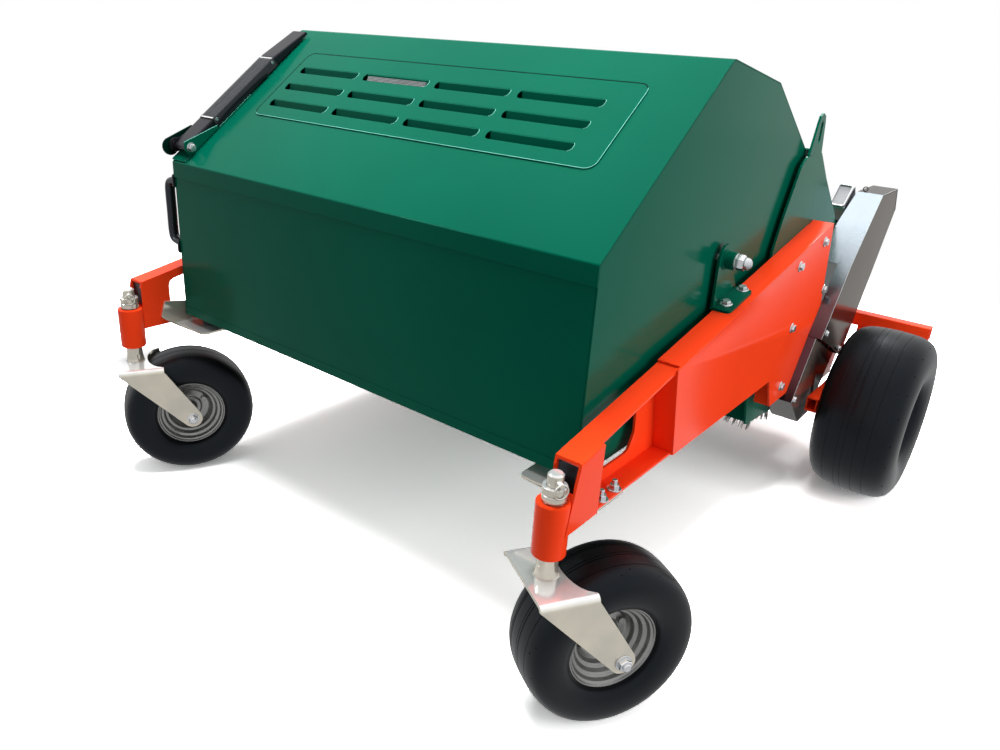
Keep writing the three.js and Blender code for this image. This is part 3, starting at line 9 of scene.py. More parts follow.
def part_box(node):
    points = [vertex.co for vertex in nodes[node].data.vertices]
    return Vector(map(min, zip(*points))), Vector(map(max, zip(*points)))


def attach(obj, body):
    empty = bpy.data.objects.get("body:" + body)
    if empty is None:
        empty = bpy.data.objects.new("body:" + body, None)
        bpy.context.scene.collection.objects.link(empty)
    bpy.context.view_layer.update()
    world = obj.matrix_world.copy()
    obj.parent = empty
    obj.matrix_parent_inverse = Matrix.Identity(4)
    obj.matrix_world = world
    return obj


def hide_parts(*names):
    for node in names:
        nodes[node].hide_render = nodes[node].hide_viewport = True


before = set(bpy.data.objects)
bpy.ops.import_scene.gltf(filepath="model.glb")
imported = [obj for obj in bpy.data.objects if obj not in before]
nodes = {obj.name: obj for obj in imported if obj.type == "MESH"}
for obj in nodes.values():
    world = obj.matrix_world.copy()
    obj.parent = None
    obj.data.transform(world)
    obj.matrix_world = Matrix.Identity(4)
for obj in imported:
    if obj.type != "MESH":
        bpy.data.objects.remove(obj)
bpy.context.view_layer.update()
SIDES = {"right": 1, "left": -1}
ACROSS = Vector((1, 0, 0))
UP = Vector((0, 0, 1))
MM = 0.001

# The drawings' frame: millimetres, with Y from a datum under the hopper's rear
DATUM_Y = 511.783


def spot(x, y, z):
    """Scene place of a point on the drawings."""
    return Vector((x, y + DATUM_Y, z)) * MM


def scaled(points):
    """Outline points given in millimetres."""
    return [tuple(value * MM for value in point) for point in points]


def middle(node):
    """Centre of a CAD node's box."""
    low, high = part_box(node)
    return (low + high) / 2


# Camera: the photograph's view of the machine
AZIMUTH = math.radians(37.14)
ELEVATION = math.radians(21.67)
ROLL = math.radians(3.72)
EYE = Vector((1.23385, -1.78823, 1.14321))
FOCAL_PIXELS = 795.89
FRAME_WIDTH = 1000
FRAME_HEIGHT = 750
CENTRE_PIXEL = (489.69, 357.28)


def make_camera():
    camera = bpy.data.objects.new("camera", bpy.data.cameras.new("camera"))
    bpy.context.scene.collection.objects.link(camera)
    back = Vector((
        math.sin(AZIMUTH) * math.cos(ELEVATION), -math.cos(AZIMUTH) * math.cos(ELEVATION),
        math.sin(ELEVATION)))
    right = (-back).cross(UP).normalized()
    top = right.cross(-back)
    turned_right = right * math.cos(ROLL) + top * math.sin(ROLL)
    turned_top = top * math.cos(ROLL) - right * math.sin(ROLL)
    camera.matrix_world = Matrix.Translation(EYE) @ Matrix(
        (turned_right, turned_top, back)).transposed().to_4x4()
    camera.data.lens = FOCAL_PIXELS / FRAME_WIDTH * camera.data.sensor_width
    camera.data.shift_x = (FRAME_WIDTH / 2 - CENTRE_PIXEL[0]) / FRAME_WIDTH
    camera.data.shift_y = (CENTRE_PIXEL[1] - FRAME_HEIGHT / 2) / FRAME_WIDTH
    bpy.context.scene.camera = camera
    bpy.context.scene.view_settings.view_transform = "Standard"


# Shader helpers
def new_material(name):
    material = bpy.data.materials.new(name)
    material.use_nodes = True
    tree = material.node_tree
    shader = tree.nodes["Principled BSDF"]
    return material, tree, shader


def set_inputs(node, **values):
    for key, value in values.items():
        node.inputs[key.replace("_", " ")].default_value = value


def noise(tree, scale, detail=3.0, stretch=(1, 1, 1)):
    """Noise in the piece's own coordinates; stretch lengthens it along an axis."""
    place = tree.nodes.new("ShaderNodeTexCoord")
    mapping = tree.nodes.new("ShaderNodeMapping")
    mapping.inputs["Scale"].default_value = stretch
    texture = tree.nodes.new("ShaderNodeTexNoise")
    set_inputs(texture, Scale=scale, Detail=detail)
    tree.links.new(place.outputs["Object"], mapping.inputs["Vector"])
    tree.links.new(mapping.outputs["Vector"], texture.inputs["Vector"])
    return texture.outputs["Fac"]


def between(tree, source, low, high, from_low=0.3, from_high=0.7):
    spread = tree.nodes.new("ShaderNodeMapRange")
    set_inputs(spread, From_Min=from_low, From_Max=from_high, To_Min=low, To_Max=high)
    tree.links.new(source, spread.inputs["Value"])
    return spread.outputs["Result"]


def colour_ramp(tree, source, stops):
    ramp = tree.nodes.new("ShaderNodeValToRGB")
    elements = ramp.color_ramp.elements
    while len(elements) < len(stops):
        elements.new(0.5)
    for element, (place, colour) in zip(elements, stops):
        element.position = place
        element.color = (*colour, 1)
    tree.links.new(source, ramp.inputs["Fac"])
    return ramp.outputs["Color"]


def add_bump(tree, shader, source, strength, distance):
    bump = tree.nodes.new("ShaderNodeBump")
    set_inputs(bump, Strength=strength, Distance=distance)
    tree.links.new(source, bump.inputs["Height"])
    tree.links.new(bump.outputs["Normal"], shader.inputs["Normal"])


def shade(colour, factor):
    return tuple(channel * factor for channel in colour)


# Finishes
def paint(name, colour, rough, gloss):
    """Powder coat: faint drift in colour, orange peel, handling haze in the gloss."""
    material, tree, shader = new_material(name)
    drift = noise(tree, 2.2, 5.0)
    stops = [(0.35, shade(colour, 0.93)), (0.65, shade(colour, 1.06))]
    tree.links.new(colour_ramp(tree, drift, stops), shader.inputs["Base Color"])
    haze = noise(tree, 3.0, 2.0)
    tree.links.new(between(tree, haze, rough * 0.9, rough * 1.2), shader.inputs["Roughness"])
    add_bump(tree, shader, noise(tree, 420.0, 1.0), 0.03, 0.00008)
    set_inputs(shader, Specular_IOR_Level=gloss, Specular_Tint=(*shade(colour, 1 / max(colour)), 1))
    return material


def metal(name, colour, rough, stretch, cloud, grain=300.0, grain_depth=0.00004, solidity=1.0):
    """Bare or painted metal: clouded tint and roughness, with a grain that can run one way."""
    material, tree, shader = new_material(name)
    clouds = noise(tree, cloud, 5.0)
    stops = [(0.3, shade(colour, 0.82)), (0.55, colour), (0.75, shade(colour, 1.1))]
    tree.links.new(colour_ramp(tree, clouds, stops), shader.inputs["Base Color"])
    lines = noise(tree, grain, 2.0, stretch)
    tree.links.new(between(tree, lines, rough * 0.75, rough * 1.35), shader.inputs["Roughness"])
    add_bump(tree, shader, lines, 0.25, grain_depth)
    set_inputs(shader, Metallic=solidity)
    return material


def fill(tree, socket, source):
    """Link another node's output to a socket, or set the socket to a plain value."""
    if isinstance(source, bpy.types.NodeSocket):
        tree.links.new(source, socket)
    else:
        socket.default_value = source


# A colour mix node's sockets, which share their names with its number and vector ones
MIX_FIRST, MIX_SECOND, MIX_RESULT = 6, 7, 2


def mix_colours(tree, share, first, second, blend="MIX"):
    mix = tree.nodes.new("ShaderNodeMix")
    mix.data_type = "RGBA"
    mix.blend_type = blend
    for key, source in (("Factor", share), (MIX_FIRST, first), (MIX_SECOND, second)):
        fill(tree, mix.inputs[key], source)
    return mix.outputs[MIX_RESULT]


def mix_shaders(tree, share, first, second):
    mix = tree.nodes.new("ShaderNodeMixShader")
    for key, source in (("Fac", share), (1, first), (2, second)):
        fill(tree, mix.inputs[key], source)
    return mix.outputs[0]


def axis_of(tree, source, axis):
    """One axis of a point on the piece (Object), or of its surface's direction (Normal)."""
    place = tree.nodes.new("ShaderNodeTexCoord")
    split = tree.nodes.new("ShaderNodeSeparateXYZ")
    tree.links.new(place.outputs[source], split.inputs["Vector"])
    return split.outputs[axis]


# Colour of the painted dark reflection on the guards' up-facing tops, then the tint of their gloss
GUARD_TOP_REFLECTION = (0.02, 0.02, 0.022, 1)
GUARD_GLOSS = (0.62, 0.6, 0.58, 1)


def guard_sheet(name, low, high, side_face, start, end, solidity):
    """Polished sheet with painted reflections: a taupe side face, a dark top, and walls that brighten from
    one height to another.
    """
    material, tree, shader = new_material(name)
    climb = between(tree, axis_of(tree, "Object", "Z"), 0.0, 1.0, start, end)
    halfway = tuple((a + b) * 0.3 for a, b in zip(low, high))
    wall = colour_ramp(tree, climb, [(0.0, low), (0.45, halfway), (1.0, high)])
    stops = [(0.35, shade(side_face, 0.88)), (0.65, shade(side_face, 1.1))]
    side = colour_ramp(tree, noise(tree, 3.0, 4.0), stops)
    sideways = between(tree, axis_of(tree, "Normal", "X"), 0.0, 1.0, 0.6, 0.9)
    upwards = between(tree, axis_of(tree, "Normal", "Z"), 0.0, 1.0, 0.88, 0.96)
    colour = mix_colours(tree, upwards, mix_colours(tree, sideways, wall, side), GUARD_TOP_REFLECTION)
    tree.links.new(colour, shader.inputs["Base Color"])
    lines = noise(tree, 380.0, 2.0, (1.0, 1.0, 0.03))
    tree.links.new(between(tree, lines, 0.14, 0.24), shader.inputs["Roughness"])
    add_bump(tree, shader, lines, 0.2, 0.00003)
    set_inputs(shader, Metallic=solidity, Specular_Tint=GUARD_GLOSS)
    return material


def plated(name, sideways, upward, rough, grain_depth, solidity):
    """Bright plating with a painted reflection: up-facing faces read cooler and brighter than the sides,
    down-facing faces darker, with faint clouds.
    """
    material, tree, shader = new_material(name)
    # Painted reflection: the colour follows how far each face turns up
    facing_up = between(tree, axis_of(tree, "Normal", "Z"), 0.0, 1.0, -0.6, 0.95)
    stops = [(0.0, shade(sideways, 0.25)), (0.38, sideways), (0.6, shade(sideways, 1.1)), (1.0, upward)]
    painted_reflection = colour_ramp(tree, facing_up, stops)
    cloud_stops = [(0.3, (0.86, 0.87, 0.89)), (0.7, (1.08, 1.06, 1.04))]
    clouds = colour_ramp(tree, noise(tree, 14.0, 5.0), cloud_stops)
    tree.links.new(mix_colours(tree, 1.0, painted_reflection, clouds, "MULTIPLY"), shader.inputs["Base Color"])
    lines = noise(tree, 300.0, 2.0)
    tree.links.new(between(tree, lines, rough * 0.8, rough * 1.3), shader.inputs["Roughness"])
    add_bump(tree, shader, noise(tree, 40.0, 2.0), 0.1, grain_depth)
    set_inputs(shader, Metallic=solidity)
    return material


RUBBER_TINT = (0.72, 0.84, 1.0, 1)


def rubber(name, colour, rough, grain, depth, sheen=0.0, gloss=0.3):
    material, tree, shader = new_material(name)
    bloom = noise(tree, 5.0, 6.0)
    stops = [(0.3, colour), (0.7, shade(colour, 1.6))]
    tree.links.new(colour_ramp(tree, bloom, stops), shader.inputs["Base Color"])
    tree.links.new(between(tree, bloom, rough * 0.85, rough * 1.2), shader.inputs["Roughness"])
    add_bump(tree, shader, noise(tree, grain, 3.0), 0.35, depth)
    set_inputs(shader, Sheen_Weight=sheen, Sheen_Roughness=0.5, Specular_IOR_Level=gloss,
               Specular_Tint=RUBBER_TINT)
    return material


def bristle(name):
    """Worn bristles: streaks that run along the strands."""
    material, tree, shader = new_material(name)
    strands = noise(tree, 260.0, 4.0, (1.0, 0.25, 0.25))
    stops = [(0.3, (0.17, 0.15, 0.13)), (0.5, (0.42, 0.4, 0.37)), (0.7, (0.68, 0.66, 0.62))]
    tree.links.new(colour_ramp(tree, strands, stops), shader.inputs["Base Color"])
    add_bump(tree, shader, strands, 0.5, 0.0006)
    set_inputs(shader, Roughness=0.62)
    return material


EVEN = (1, 1, 1)
FINISHES = {
    "green_paint": (paint, (0.0003, 0.088, 0.052), 0.16, 0.07),
    "orange_paint": (paint, (0.95, 0.057, 0.012), 0.15, 0.15),
    "black_paint": (paint, (0.006, 0.006, 0.0075), 0.3, 0.35),
    "rim_paint": (metal, (0.29, 0.292, 0.285), 0.3, EVEN, 9.0, 60.0, 0.00002, 0.75),
    # Plated finishes, whose colour carries a painted reflection that follows each face's direction
    "zinc_plate": (plated, (0.6, 0.565, 0.48), (0.98, 1.0, 1.0), 0.1, 0.00002, 0.66),
    "fastener": (plated, (0.56, 0.58, 0.6), (1.0, 1.0, 1.0), 0.14, 0.000004, 0.85),
    # Both guard finishes paint reflections into their colour, the lower guard's darker
    "guard_sheet": (
        guard_sheet, (0.085, 0.05, 0.07), (0.7, 0.8, 0.88), (0.14, 0.128, 0.118), 0.44, 0.74, 0.9),
    "dark_guard": (
        guard_sheet, (0.01, 0.008, 0.009), (0.085, 0.05, 0.065), (0.13, 0.105, 0.09), 0.28, 0.36, 0.25),
    "stainless": (metal, (0.62, 0.63, 0.65), 0.2, (1.0, 1.0, 0.03), 5.0, 380.0),
    "bare_steel": (metal, (0.42, 0.42, 0.43), 0.32, (0.05, 1.0, 1.0), 11.0),
    "cast_metal": (metal, (0.52, 0.53, 0.55), 0.46, EVEN, 8.0, 170.0, 0.0005),
    "tyre": (rubber, (0.0024, 0.0026, 0.0031), 0.36, 90.0, 0.0002, 0.0, 0.22),
    "rubber": (rubber, (0.011, 0.011, 0.012), 0.5, 500.0, 0.0002, 0.05),
    "grip": (rubber, (0.014, 0.014, 0.016), 0.42, 700.0, 0.00025, 0.1),
    "moulding": (rubber, (0.007, 0.007, 0.008), 0.3, 300.0, 0.0001, 0.0, 0.4),
    # Pale green for painted highlight strips, near-black green for painted shade lines and the lever's far
    # ear
    "glint": (paint, (0.12, 0.42, 0.34), 0.2, 0.2),
    "groove": (paint, (0.0, 0.012, 0.008), 0.4, 0.05),
    "bristle_core": (paint, (0.01, 0.01, 0.011), 0.5, 0.3),
    # The tyres' nubs: darker and duller than the tyre, as painted shade round them
    "pip": (rubber, (0.001, 0.001, 0.001), 0.9, 90.0, 0.0001, 0.0, 0.0),
    "bristle": (bristle,),
}
finish = {name: make(name, *values) for name, (make, *values) in FINISHES.items()}


# Soft corners on the carried-over parts, and shading that follows their rounds
def smoothing_group(limit):
    group = bpy.data.node_groups.new("smooth_below_angle", "GeometryNodeTree")
    group.interface.new_socket("Geometry", in_out="INPUT", socket_type="NodeSocketGeometry")
    group.interface.new_socket("Geometry", in_out="OUTPUT", socket_type="NodeSocketGeometry")
    start = group.nodes.new("NodeGroupInput")
    end = group.nodes.new("NodeGroupOutput")
    faces = group.nodes.new("GeometryNodeSetShadeSmooth")
    faces.domain = "FACE"
    edges = group.nodes.new("GeometryNodeSetShadeSmooth")
    edges.domain = "EDGE"
    edges.inputs["Shade Smooth"].default_value = False
    angle = group.nodes.new("GeometryNodeInputMeshEdgeAngle")
    over = group.nodes.new("FunctionNodeCompare")
    over.data_type = "FLOAT"
    over.operation = "GREATER_THAN"
    over.inputs["B"].default_value = limit
    group.links.new(start.outputs[0], faces.inputs["Geometry"])
    group.links.new(faces.outputs[0], edges.inputs["Geometry"])
    group.links.new(angle.outputs["Unsigned Angle"], over.inputs["A"])
    group.links.new(over.outputs[0], edges.inputs["Selection"])
    group.links.new(edges.outputs[0], end.inputs[0])
    return group


SMOOTH_BELOW = math.radians(42)
BEVEL_ABOVE = math.radians(33)
FLAT_BELOW = math.radians(0.4)
smoothing = smoothing_group(SMOOTH_BELOW)


def dress(name, slot, corner, steps):
    """Finish and rounded corners for a CAD node that stays in view."""
    piece = nodes[name]
    piece.data.materials.clear()
    piece.data.materials.append(finish[slot])
    weld = piece.modifiers.new("weld", "WELD")
    weld.merge_threshold = 0.01 * MM
    flat = piece.modifiers.new("flat", "DECIMATE")
    flat.decimate_type = "DISSOLVE"
    flat.angle_limit = FLAT_BELOW
    round_corners(piece, corner * MM, steps)


FOLD_RADIUS = 7 * MM


def on_fold(sign, a, b):
    """True for an edge from a to b along the outer top corner of an arm's channel or box plate."""
    if any(abs(end.x * sign - ARM_OUTER * MM) > 0.4 * MM for end in (a, b)):
        return False
    along = b - a
    if along.length < 4 * MM or abs(along.z - along.y * ARM_SLOPE) > 0.02 * along.length:
        return False
    return -1 < a.z / MM - arm_top(a.y / MM - DATUM_Y) < 8


def bend_edges(name, sign):
    """Round the fold of an arm's sheet."""
    piece = nodes[name]
    data = piece.data
    weights = data.attributes.new("bevel_weight_edge", "FLOAT", "EDGE")
    for edge in data.edges:
        ends = [data.vertices[i].co for i in edge.vertices]
        weights.data[edge.index].value = 1.0 if on_fold(sign, *ends) else 0.0
    fold = piece.modifiers.new("fold", "BEVEL")
    fold.width = FOLD_RADIUS
    fold.segments = 6
    fold.limit_method = "WEIGHT"
    piece.modifiers.move(len(piece.modifiers) - 1, 1)


def pair(part):
    return [f"{part}_{side}" for side in SIDES]


# CAD nodes that stay in view: finish, corner radius in millimetres and its steps
DRESSING = [
    (["hopper_tray", "lid", "vent_panel", *pair("hopper_side")], "green_paint", 0.9, 2),
    (["rotor_hood", "scoop_plate"], "green_paint", 1.2, 2),
    (pair("housing_side") + pair("pivot_bracket"), "green_paint", 1.5, 2),
    (pair("arm_channel") + pair("arm_box"), "orange_paint", 2.2, 3),
    (pair("buffer_bracket"), "zinc_plate", 1.5, 2),
    (pair("rubber_buffer"), "rubber", 2, 2),
    (["rotor_shaft", "cross_shaft", "pto_shaft", "rotor_pulley", "drive_pulley"], "bare_steel", 0.5, 1),
    (["drive_belt"], "rubber", 0.8, 1),
    (["upper_belt_guard"], "guard_sheet", 0.8, 2),
    (["lower_belt_guard"], "dark_guard", 0.8, 2),
    (["gearbox_housing"], "cast_metal", 0.8, 2),
    (pair("rotor_bearing"), "cast_metal", 2, 2),
    (["rear_beam", *pair("wheel_arm")], "orange_paint", 1.8, 3),
    (["headstock"], "orange_paint", 1.8, 2),
]


def dress_frame():
    for names, slot, corner, steps in DRESSING:
        for name in names:
            dress(name, slot, corner, steps)
    for side, sign in SIDES.items():
        for part in ("arm_channel", "arm_box"):
            bend_edges(f"{part}_{side}", sign)


# Shapes for the scene's own pieces
def soften(points, steps=4, closed=True):
    """Outline whose points (u, v, radius) become arcs; a point without a radius stays sharp."""
    out = []
    count = len(points)
    for i, point in enumerate(points):
        corner = Vector(point[:2])
        radius = point[2] if len(point) > 2 else 0
        if radius <= 0 or (not closed and i in (0, count - 1)):
            out.append(corner)
            continue
        before = Vector(points[i - 1][:2]) - corner
        after = Vector(points[(i + 1) % count][:2]) - corner
        half = before.angle(after) / 2
        reach = min(radius / math.tan(half), before.length / 2, after.length / 2)
        start = corner + before.normalized() * reach
        end = corner + after.normalized() * reach
        centre = corner + (before.normalized() + after.normalized()).normalized() * (reach / math.cos(half))
        first = start - centre
        sweep = first.angle_signed(end - centre)
        for step in range(steps + 1):
            turn = -sweep * step / steps
            out.append(centre + Matrix.Rotation(turn, 2) @ first)
    return [(p[0], p[1]) for p in out]


def arc(u, v, radius, start, end, steps):
    turns = [start + (end - start) * i / steps for i in range(steps + 1)]
    return [(u + radius * math.cos(t), v + radius * math.sin(t)) for t in turns]


def spline(points, steps):
    """Catmull-Rom line through points of any dimension."""
    line = [Vector(p) for p in points]
    line = [2 * line[0] - line[1], *line, 2 * line[-1] - line[-2]]
    out = []
    for a, b, c, d in zip(line, line[1:], line[2:], line[3:]):
        for step in range(steps):
            t = step / steps
            out.append((b * 2 + (c - a) * t + (a * 2 - b * 5 + c * 4 - d) * t * t
                        + (b * 3 - a - c * 3 + d) * t ** 3) / 2)
    return [tuple(p) for p in out] + [tuple(line[-2])]


def place_at(origin, x_axis, z_axis):
    """Matrix with the given origin, X along x_axis and Z as near z_axis as can be."""
    x_axis = Vector(x_axis).normalized()
    y_axis = Vector(z_axis).cross(x_axis).normalized()
    z_axis = x_axis.cross(y_axis)
    turn = Matrix((x_axis, y_axis, z_axis)).transposed()
    return Matrix.Translation(origin) @ turn.to_4x4()


def facing(point, outward, along=UP):
    """Frame at a point with Z out of the surface and X along it."""
    outward = Vector(outward).normalized()
    return place_at(point, along - outward * along.dot(outward), outward)


def ring_points(radius, high, count):
    """Points of a level ring about the Z axis."""
    turns = [2 * math.pi * i / count for i in range(count)]
    return [(radius * math.cos(turn), radius * math.sin(turn), high) for turn in turns]


class Form:
    """Closed shapes of one piece, gathered into one mesh."""

    def __init__(self, place=Matrix.Identity(4)):
        self.mesh = bmesh.new()
        self.place = place

    def loft(self, rings, closed=False, local=Matrix.Identity(4)):
        """Skin over rings with the same number of points; closed joins the last ring to the first."""
        move = self.place @ local
        rows = [[self.mesh.verts.new(move @ Vector(p)) for p in ring] for ring in rings]
        followers = rows[1:] + rows[:1] if closed else rows[1:]
        for near, far in zip(rows, followers):
            for i, j in zip(range(len(near)), [*range(1, len(near)), 0]):
                self.mesh.faces.new((near[i], near[j], far[j], far[i]))
        if not closed:
            self.mesh.faces.new(rows[0][::-1])
            self.mesh.faces.new(rows[-1])

    def turned(self, profile, steps=48, local=Matrix.Identity(4)):
        """Profile loop of (x, radius) turned about the local X axis."""
        turns = [2 * math.pi * i / steps for i in range(steps)]
        self.loft([[(x, r * math.cos(t), r * math.sin(t)) for x, r in profile] for t in turns], True, local)

    def prism(self, outline, start, end, local=Matrix.Identity(4)):
        """Outline in the local YZ plane pushed along X."""
        self.loft([[(x, u, v) for u, v in outline] for x in (start, end)], local=local)

    def tube(self, path, radius, sides=10, closed=False):
        """Round bar along a path; radius may be one value or one for each point."""
        line = [Vector(p) for p in path]
        radii = radius if isinstance(radius, list) else [radius] * len(line)
        count = len(line)
        rings = []
        across = None
        for i, point in enumerate(line):
            before = line[i - 1] if closed or i else point
            after = line[(i + 1) % count] if closed or i < count - 1 else point
            along = (after - before).normalized()
            if across is None:
                across = along.orthogonal().normalized()
            across = (across - along * across.dot(along)).normalized()
            third = along.cross(across)
            turns = [2 * math.pi * k / sides for k in range(sides)]
            rings.append([point + (across * math.cos(t) + third * math.sin(t)) * radii[i] for t in turns])
        self.loft(rings, closed)

    def box(self, low, high):
        outline = [(low[1], low[2]), (high[1], low[2]), (high[1], high[2]), (low[1], high[2])]
        self.prism(outline, low[0], high[0])

    def finish(self, name, body, slot, replaces=(), corner=0.0, steps=2):
        bmesh.ops.remove_doubles(self.mesh, verts=self.mesh.verts, dist=0.002 * MM)
        bmesh.ops.dissolve_degenerate(self.mesh, edges=self.mesh.edges, dist=0.001 * MM)
        bmesh.ops.recalc_face_normals(self.mesh, faces=self.mesh.faces)
        data = bpy.data.meshes.new(name)
        self.mesh.to_mesh(data)
        self.mesh.free()
        data.materials.append(finish[slot])
        piece = bpy.data.objects.new(name, data)
        bpy.context.scene.collection.objects.link(piece)
        data.polygons.foreach_set("use_smooth", [True] * len(data.polygons))
        if corner:
            round_corners(piece, corner, steps)
        else:
            data.set_sharp_from_angle(angle=SMOOTH_BELOW)
        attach(piece, body)
        if replaces:
            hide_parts(*replaces)


def round_corners(piece, corner, steps):
    bevel = piece.modifiers.new("corner", "BEVEL")
    bevel.width = corner
    bevel.segments = steps
    bevel.limit_method = "ANGLE"
    bevel.angle_limit = BEVEL_ABOVE
    bevel.use_clamp_overlap = True
    smooth = piece.modifiers.new("smooth", "NODES")
    smooth.node_group = smoothing
    weighted = piece.modifiers.new("weighted", "WEIGHTED_NORMAL")
    weighted.keep_sharp = True


# Fasteners: local Z points out of the surface
UPRIGHT = Matrix.Rotation(-math.pi / 2, 4, "Y")
SIDEWAYS = Matrix.Rotation(math.pi / 2, 4, "Y")


def hex_head(form, place, across, height, start=0.0):
    chamfer = across * 0.08
    hexagon = arc(0, 0, across / math.sqrt(3), 0, 2 * math.pi * 5 / 6, 5)
    rings = [(start, 1.0), (start + height - chamfer, 1.0), (start + height, 0.88)]
    form.loft([[(u * share, v * share, z) for u, v in hexagon] for z, share in rings], local=place)


def disc(form, place, radius, low, high, chamfer=0.4 * MM, steps=28):
    profile = [(low, 0), (low, radius), (high - chamfer, radius), (high, radius - chamfer), (high, 0)]
    form.turned(profile, steps, place @ UPRIGHT)


def flange_bolt(form, place, across):
    """Hex head on its own flange."""
    disc(form, place, across * 0.78, 0, 2.2 * MM, 1.2 * MM)
    hex_head(form, place, across, across * 0.42, 2.0 * MM)


def stud_nut(form, place, across, stick_out):
    disc(form, place, across * 0.82, 0, 1.8 * MM)
    hex_head(form, place, across, across * 0.5, 1.8 * MM)
    disc(form, place, across * 0.3, across * 0.4, across * 0.5 + stick_out, 1 * MM, 18)


def weld_ring(form, radius, high, bead, ripple, beat, count):
    """Weld bead round the Z axis, whose thickness ripples along it."""
    thickness = [(bead + ripple * math.sin(i * beat)) * MM for i in range(count)]
    form.tube(ring_points(radius, high, count), thickness, 8, True)


# Wheels
def castor_place(side):
    """Frame on the castor wheel's centre, X along the axle and Y away from the kingpin, and the trail."""
    kingpin = middle(f"kingpin_tube_{side}")
    hub = middle(f"castor_tyre_{side}")
    trail = Vector((hub.x - kingpin.x, hub.y - kingpin.y, 0))
    return place_at(hub, trail.cross(UP), UP), trail.length


def rear_place(side):
    return place_at(middle(f"rear_tyre_{side}"), ACROSS * SIDES[side], UP)


TYRE_SHARES = [
    (-0.36, 0.0), (-0.43, 0.06), (-0.482, 0.22), (-0.5, 0.46), (-0.482, 0.68), (-0.42, 0.86), (-0.31, 0.955),
    (-0.16, 0.99), (0.0, 1.0),
]
SIDEWALL_RIB_SHARES = (0.2, 0.42)
RIB_SECTION = scaled(((-3, -1.2), (0.9, 0), (-3, 1.2)))
SIDEWALL_SHARE = 0.48
SIDEWALL_BEND = 1.2
TYRE_STEPS = 128
PIP_RADIUS = 1.5 * MM
PIP_HEIGHT = 1.8 * MM
PIP_ROOT = 1.5 * MM
PIP_LEAN = 1.6


def tyre_loop(width, radius, bead, grooves, groove_width, groove_depth):
    """Closed section of a tyre as (x, radius), with grooves cut round the tread."""
    half = spline(TYRE_SHARES, 7)
    outer = half + [(-x, r) for x, r in reversed(half[:-1])]
    line = [(x * width, bead + r * (radius - bead)) for x, r in outer]
    shaped = []
    for (x0, r0), (x1, r1) in zip(line, line[1:]):
        shaped.append((x0, r0))
        for centre in grooves:
            if x0 <= centre * width < x1 and r0 > radius * 0.9:
                tread = r0 + (r1 - r0) * (centre * width - x0) / (x1 - x0)
                for step, depth in ((-0.5, 0), (-0.3, groove_depth), (0.3, groove_depth), (0.5, 0)):
                    shaped.append((centre * width + step * groove_width, tread - depth))
    shaped.append(line[-1])
    inner = [(0.33 * width, bead + 0.1 * (radius - bead)), (-0.33 * width, bead + 0.1 * (radius - bead))]
    return shaped + inner


def make_tyre(name, body, node, place, size, grooves, groove_size, pip_rows, seed):
    width, radius, bead = size
    form = Form(place)
    form.turned(tyre_loop(*size, grooves, *groove_size), TYRE_STEPS)
    for share in SIDEWALL_RIB_SHARES:
        for sign in (-1, 1):
            x = sign * width * (SIDEWALL_SHARE - SIDEWALL_BEND * (0.46 - share) ** 2)
            r = bead + share * (radius - bead)
            form.turned([(x + sign * a, r + b) for a, b in RIB_SECTION], TYRE_STEPS)
    form.finish(name, body, "tyre", [node])
    pips = Form(place)
    draw = random.Random(seed)
    for x_share, r_share, count in pip_rows:
        for i in range(count):
            turn = 2 * math.pi * (i + draw.uniform(-0.15, 0.15)) / count
            r = bead + r_share * (radius - bead) - PIP_ROOT
            root = Matrix.Rotation(turn, 4, "X") @ Matrix.Translation((x_share * width, 0, r))
            lean = Matrix.Rotation(x_share * PIP_LEAN, 4, "Y")
            disc(pips, root @ lean, PIP_RADIUS, 0, PIP_HEIGHT + PIP_ROOT, 0.3 * MM, 8)
    # Nubs in the pip finish, darker than the tyre as painted shade
    pips.finish(f"{name}_pips", body, "pip")


RIM_STEPS = 96
CASTOR_TYRE = (138 * MM, 164.5 * MM, 86 * MM)
CASTOR_GROOVES = (-0.235, -0.2, -0.02, 0.03, 0.225)
CASTOR_GROOVE_SIZE = (2.2 * MM, 1.5 * MM)
CASTOR_PIPS = ((0.36, 0.9, 14), (-0.36, 0.9, 14), (0.3, 0.94, 9), (-0.25, 0.955, 9))
CASTOR_RIM = scaled([
    (5, 15), (9, 19, 2), (9, 27, 3), (4, 32, 3), (4, 48, 4), (12, 55, 4), (22, 57, 4), (23, 64, 3),
    (33, 68, 4), (35, 75, 3), (44, 77.5, 3), (45.4, 81, 1.5), (49.2, 83.2, 0.8), (49.3, 85.7, 0.8),
    (44, 85.7)])
CASTOR_HUB = scaled([(-77.6, 8.4), (-77.6, 14), (-76.6, 15), (76.6, 15), (77.6, 14), (77.6, 8.4)])
REAR_TYRE = (220 * MM, 236 * MM, 106 * MM)
REAR_GROOVES = (-0.27, -0.12, -0.05, 0.08, 0.21)
REAR_GROOVE_SIZE = (1.6 * MM, 0.9 * MM)
REAR_PIPS = ((0.42, 0.845, 20), (0.33, 0.93, 14), (0.25, 0.962, 9), (-0.42, 0.845, 20), (-0.33, 0.93, 14))
REAR_RIM = scaled([
    (15, 17), (15, 50, 6), (24, 58, 8), (24, 74, 8), (12, 86, 8), (16, 93, 4), (60, 95, 4), (68, 98, 3),
    (74, 99, 3), (77.5, 103, 1.2), (78.8, 105.6, 0.8), (72, 105.6),
    (-72, 105.6), (-78.8, 105.6, 0.8), (-77.5, 103, 1.2), (-74, 99, 3), (-68, 98, 3), (-60, 95, 4),
    (7, 92, 4), (7, 86, 6), (19, 73, 6), (19, 59, 6), (11, 51, 4), (11, 17)])
REAR_HUB = scaled([(-69.4, 16.6), (-69.4, 30), (-66, 32), (30, 32), (33.8, 28), (33.8, 16.6)])


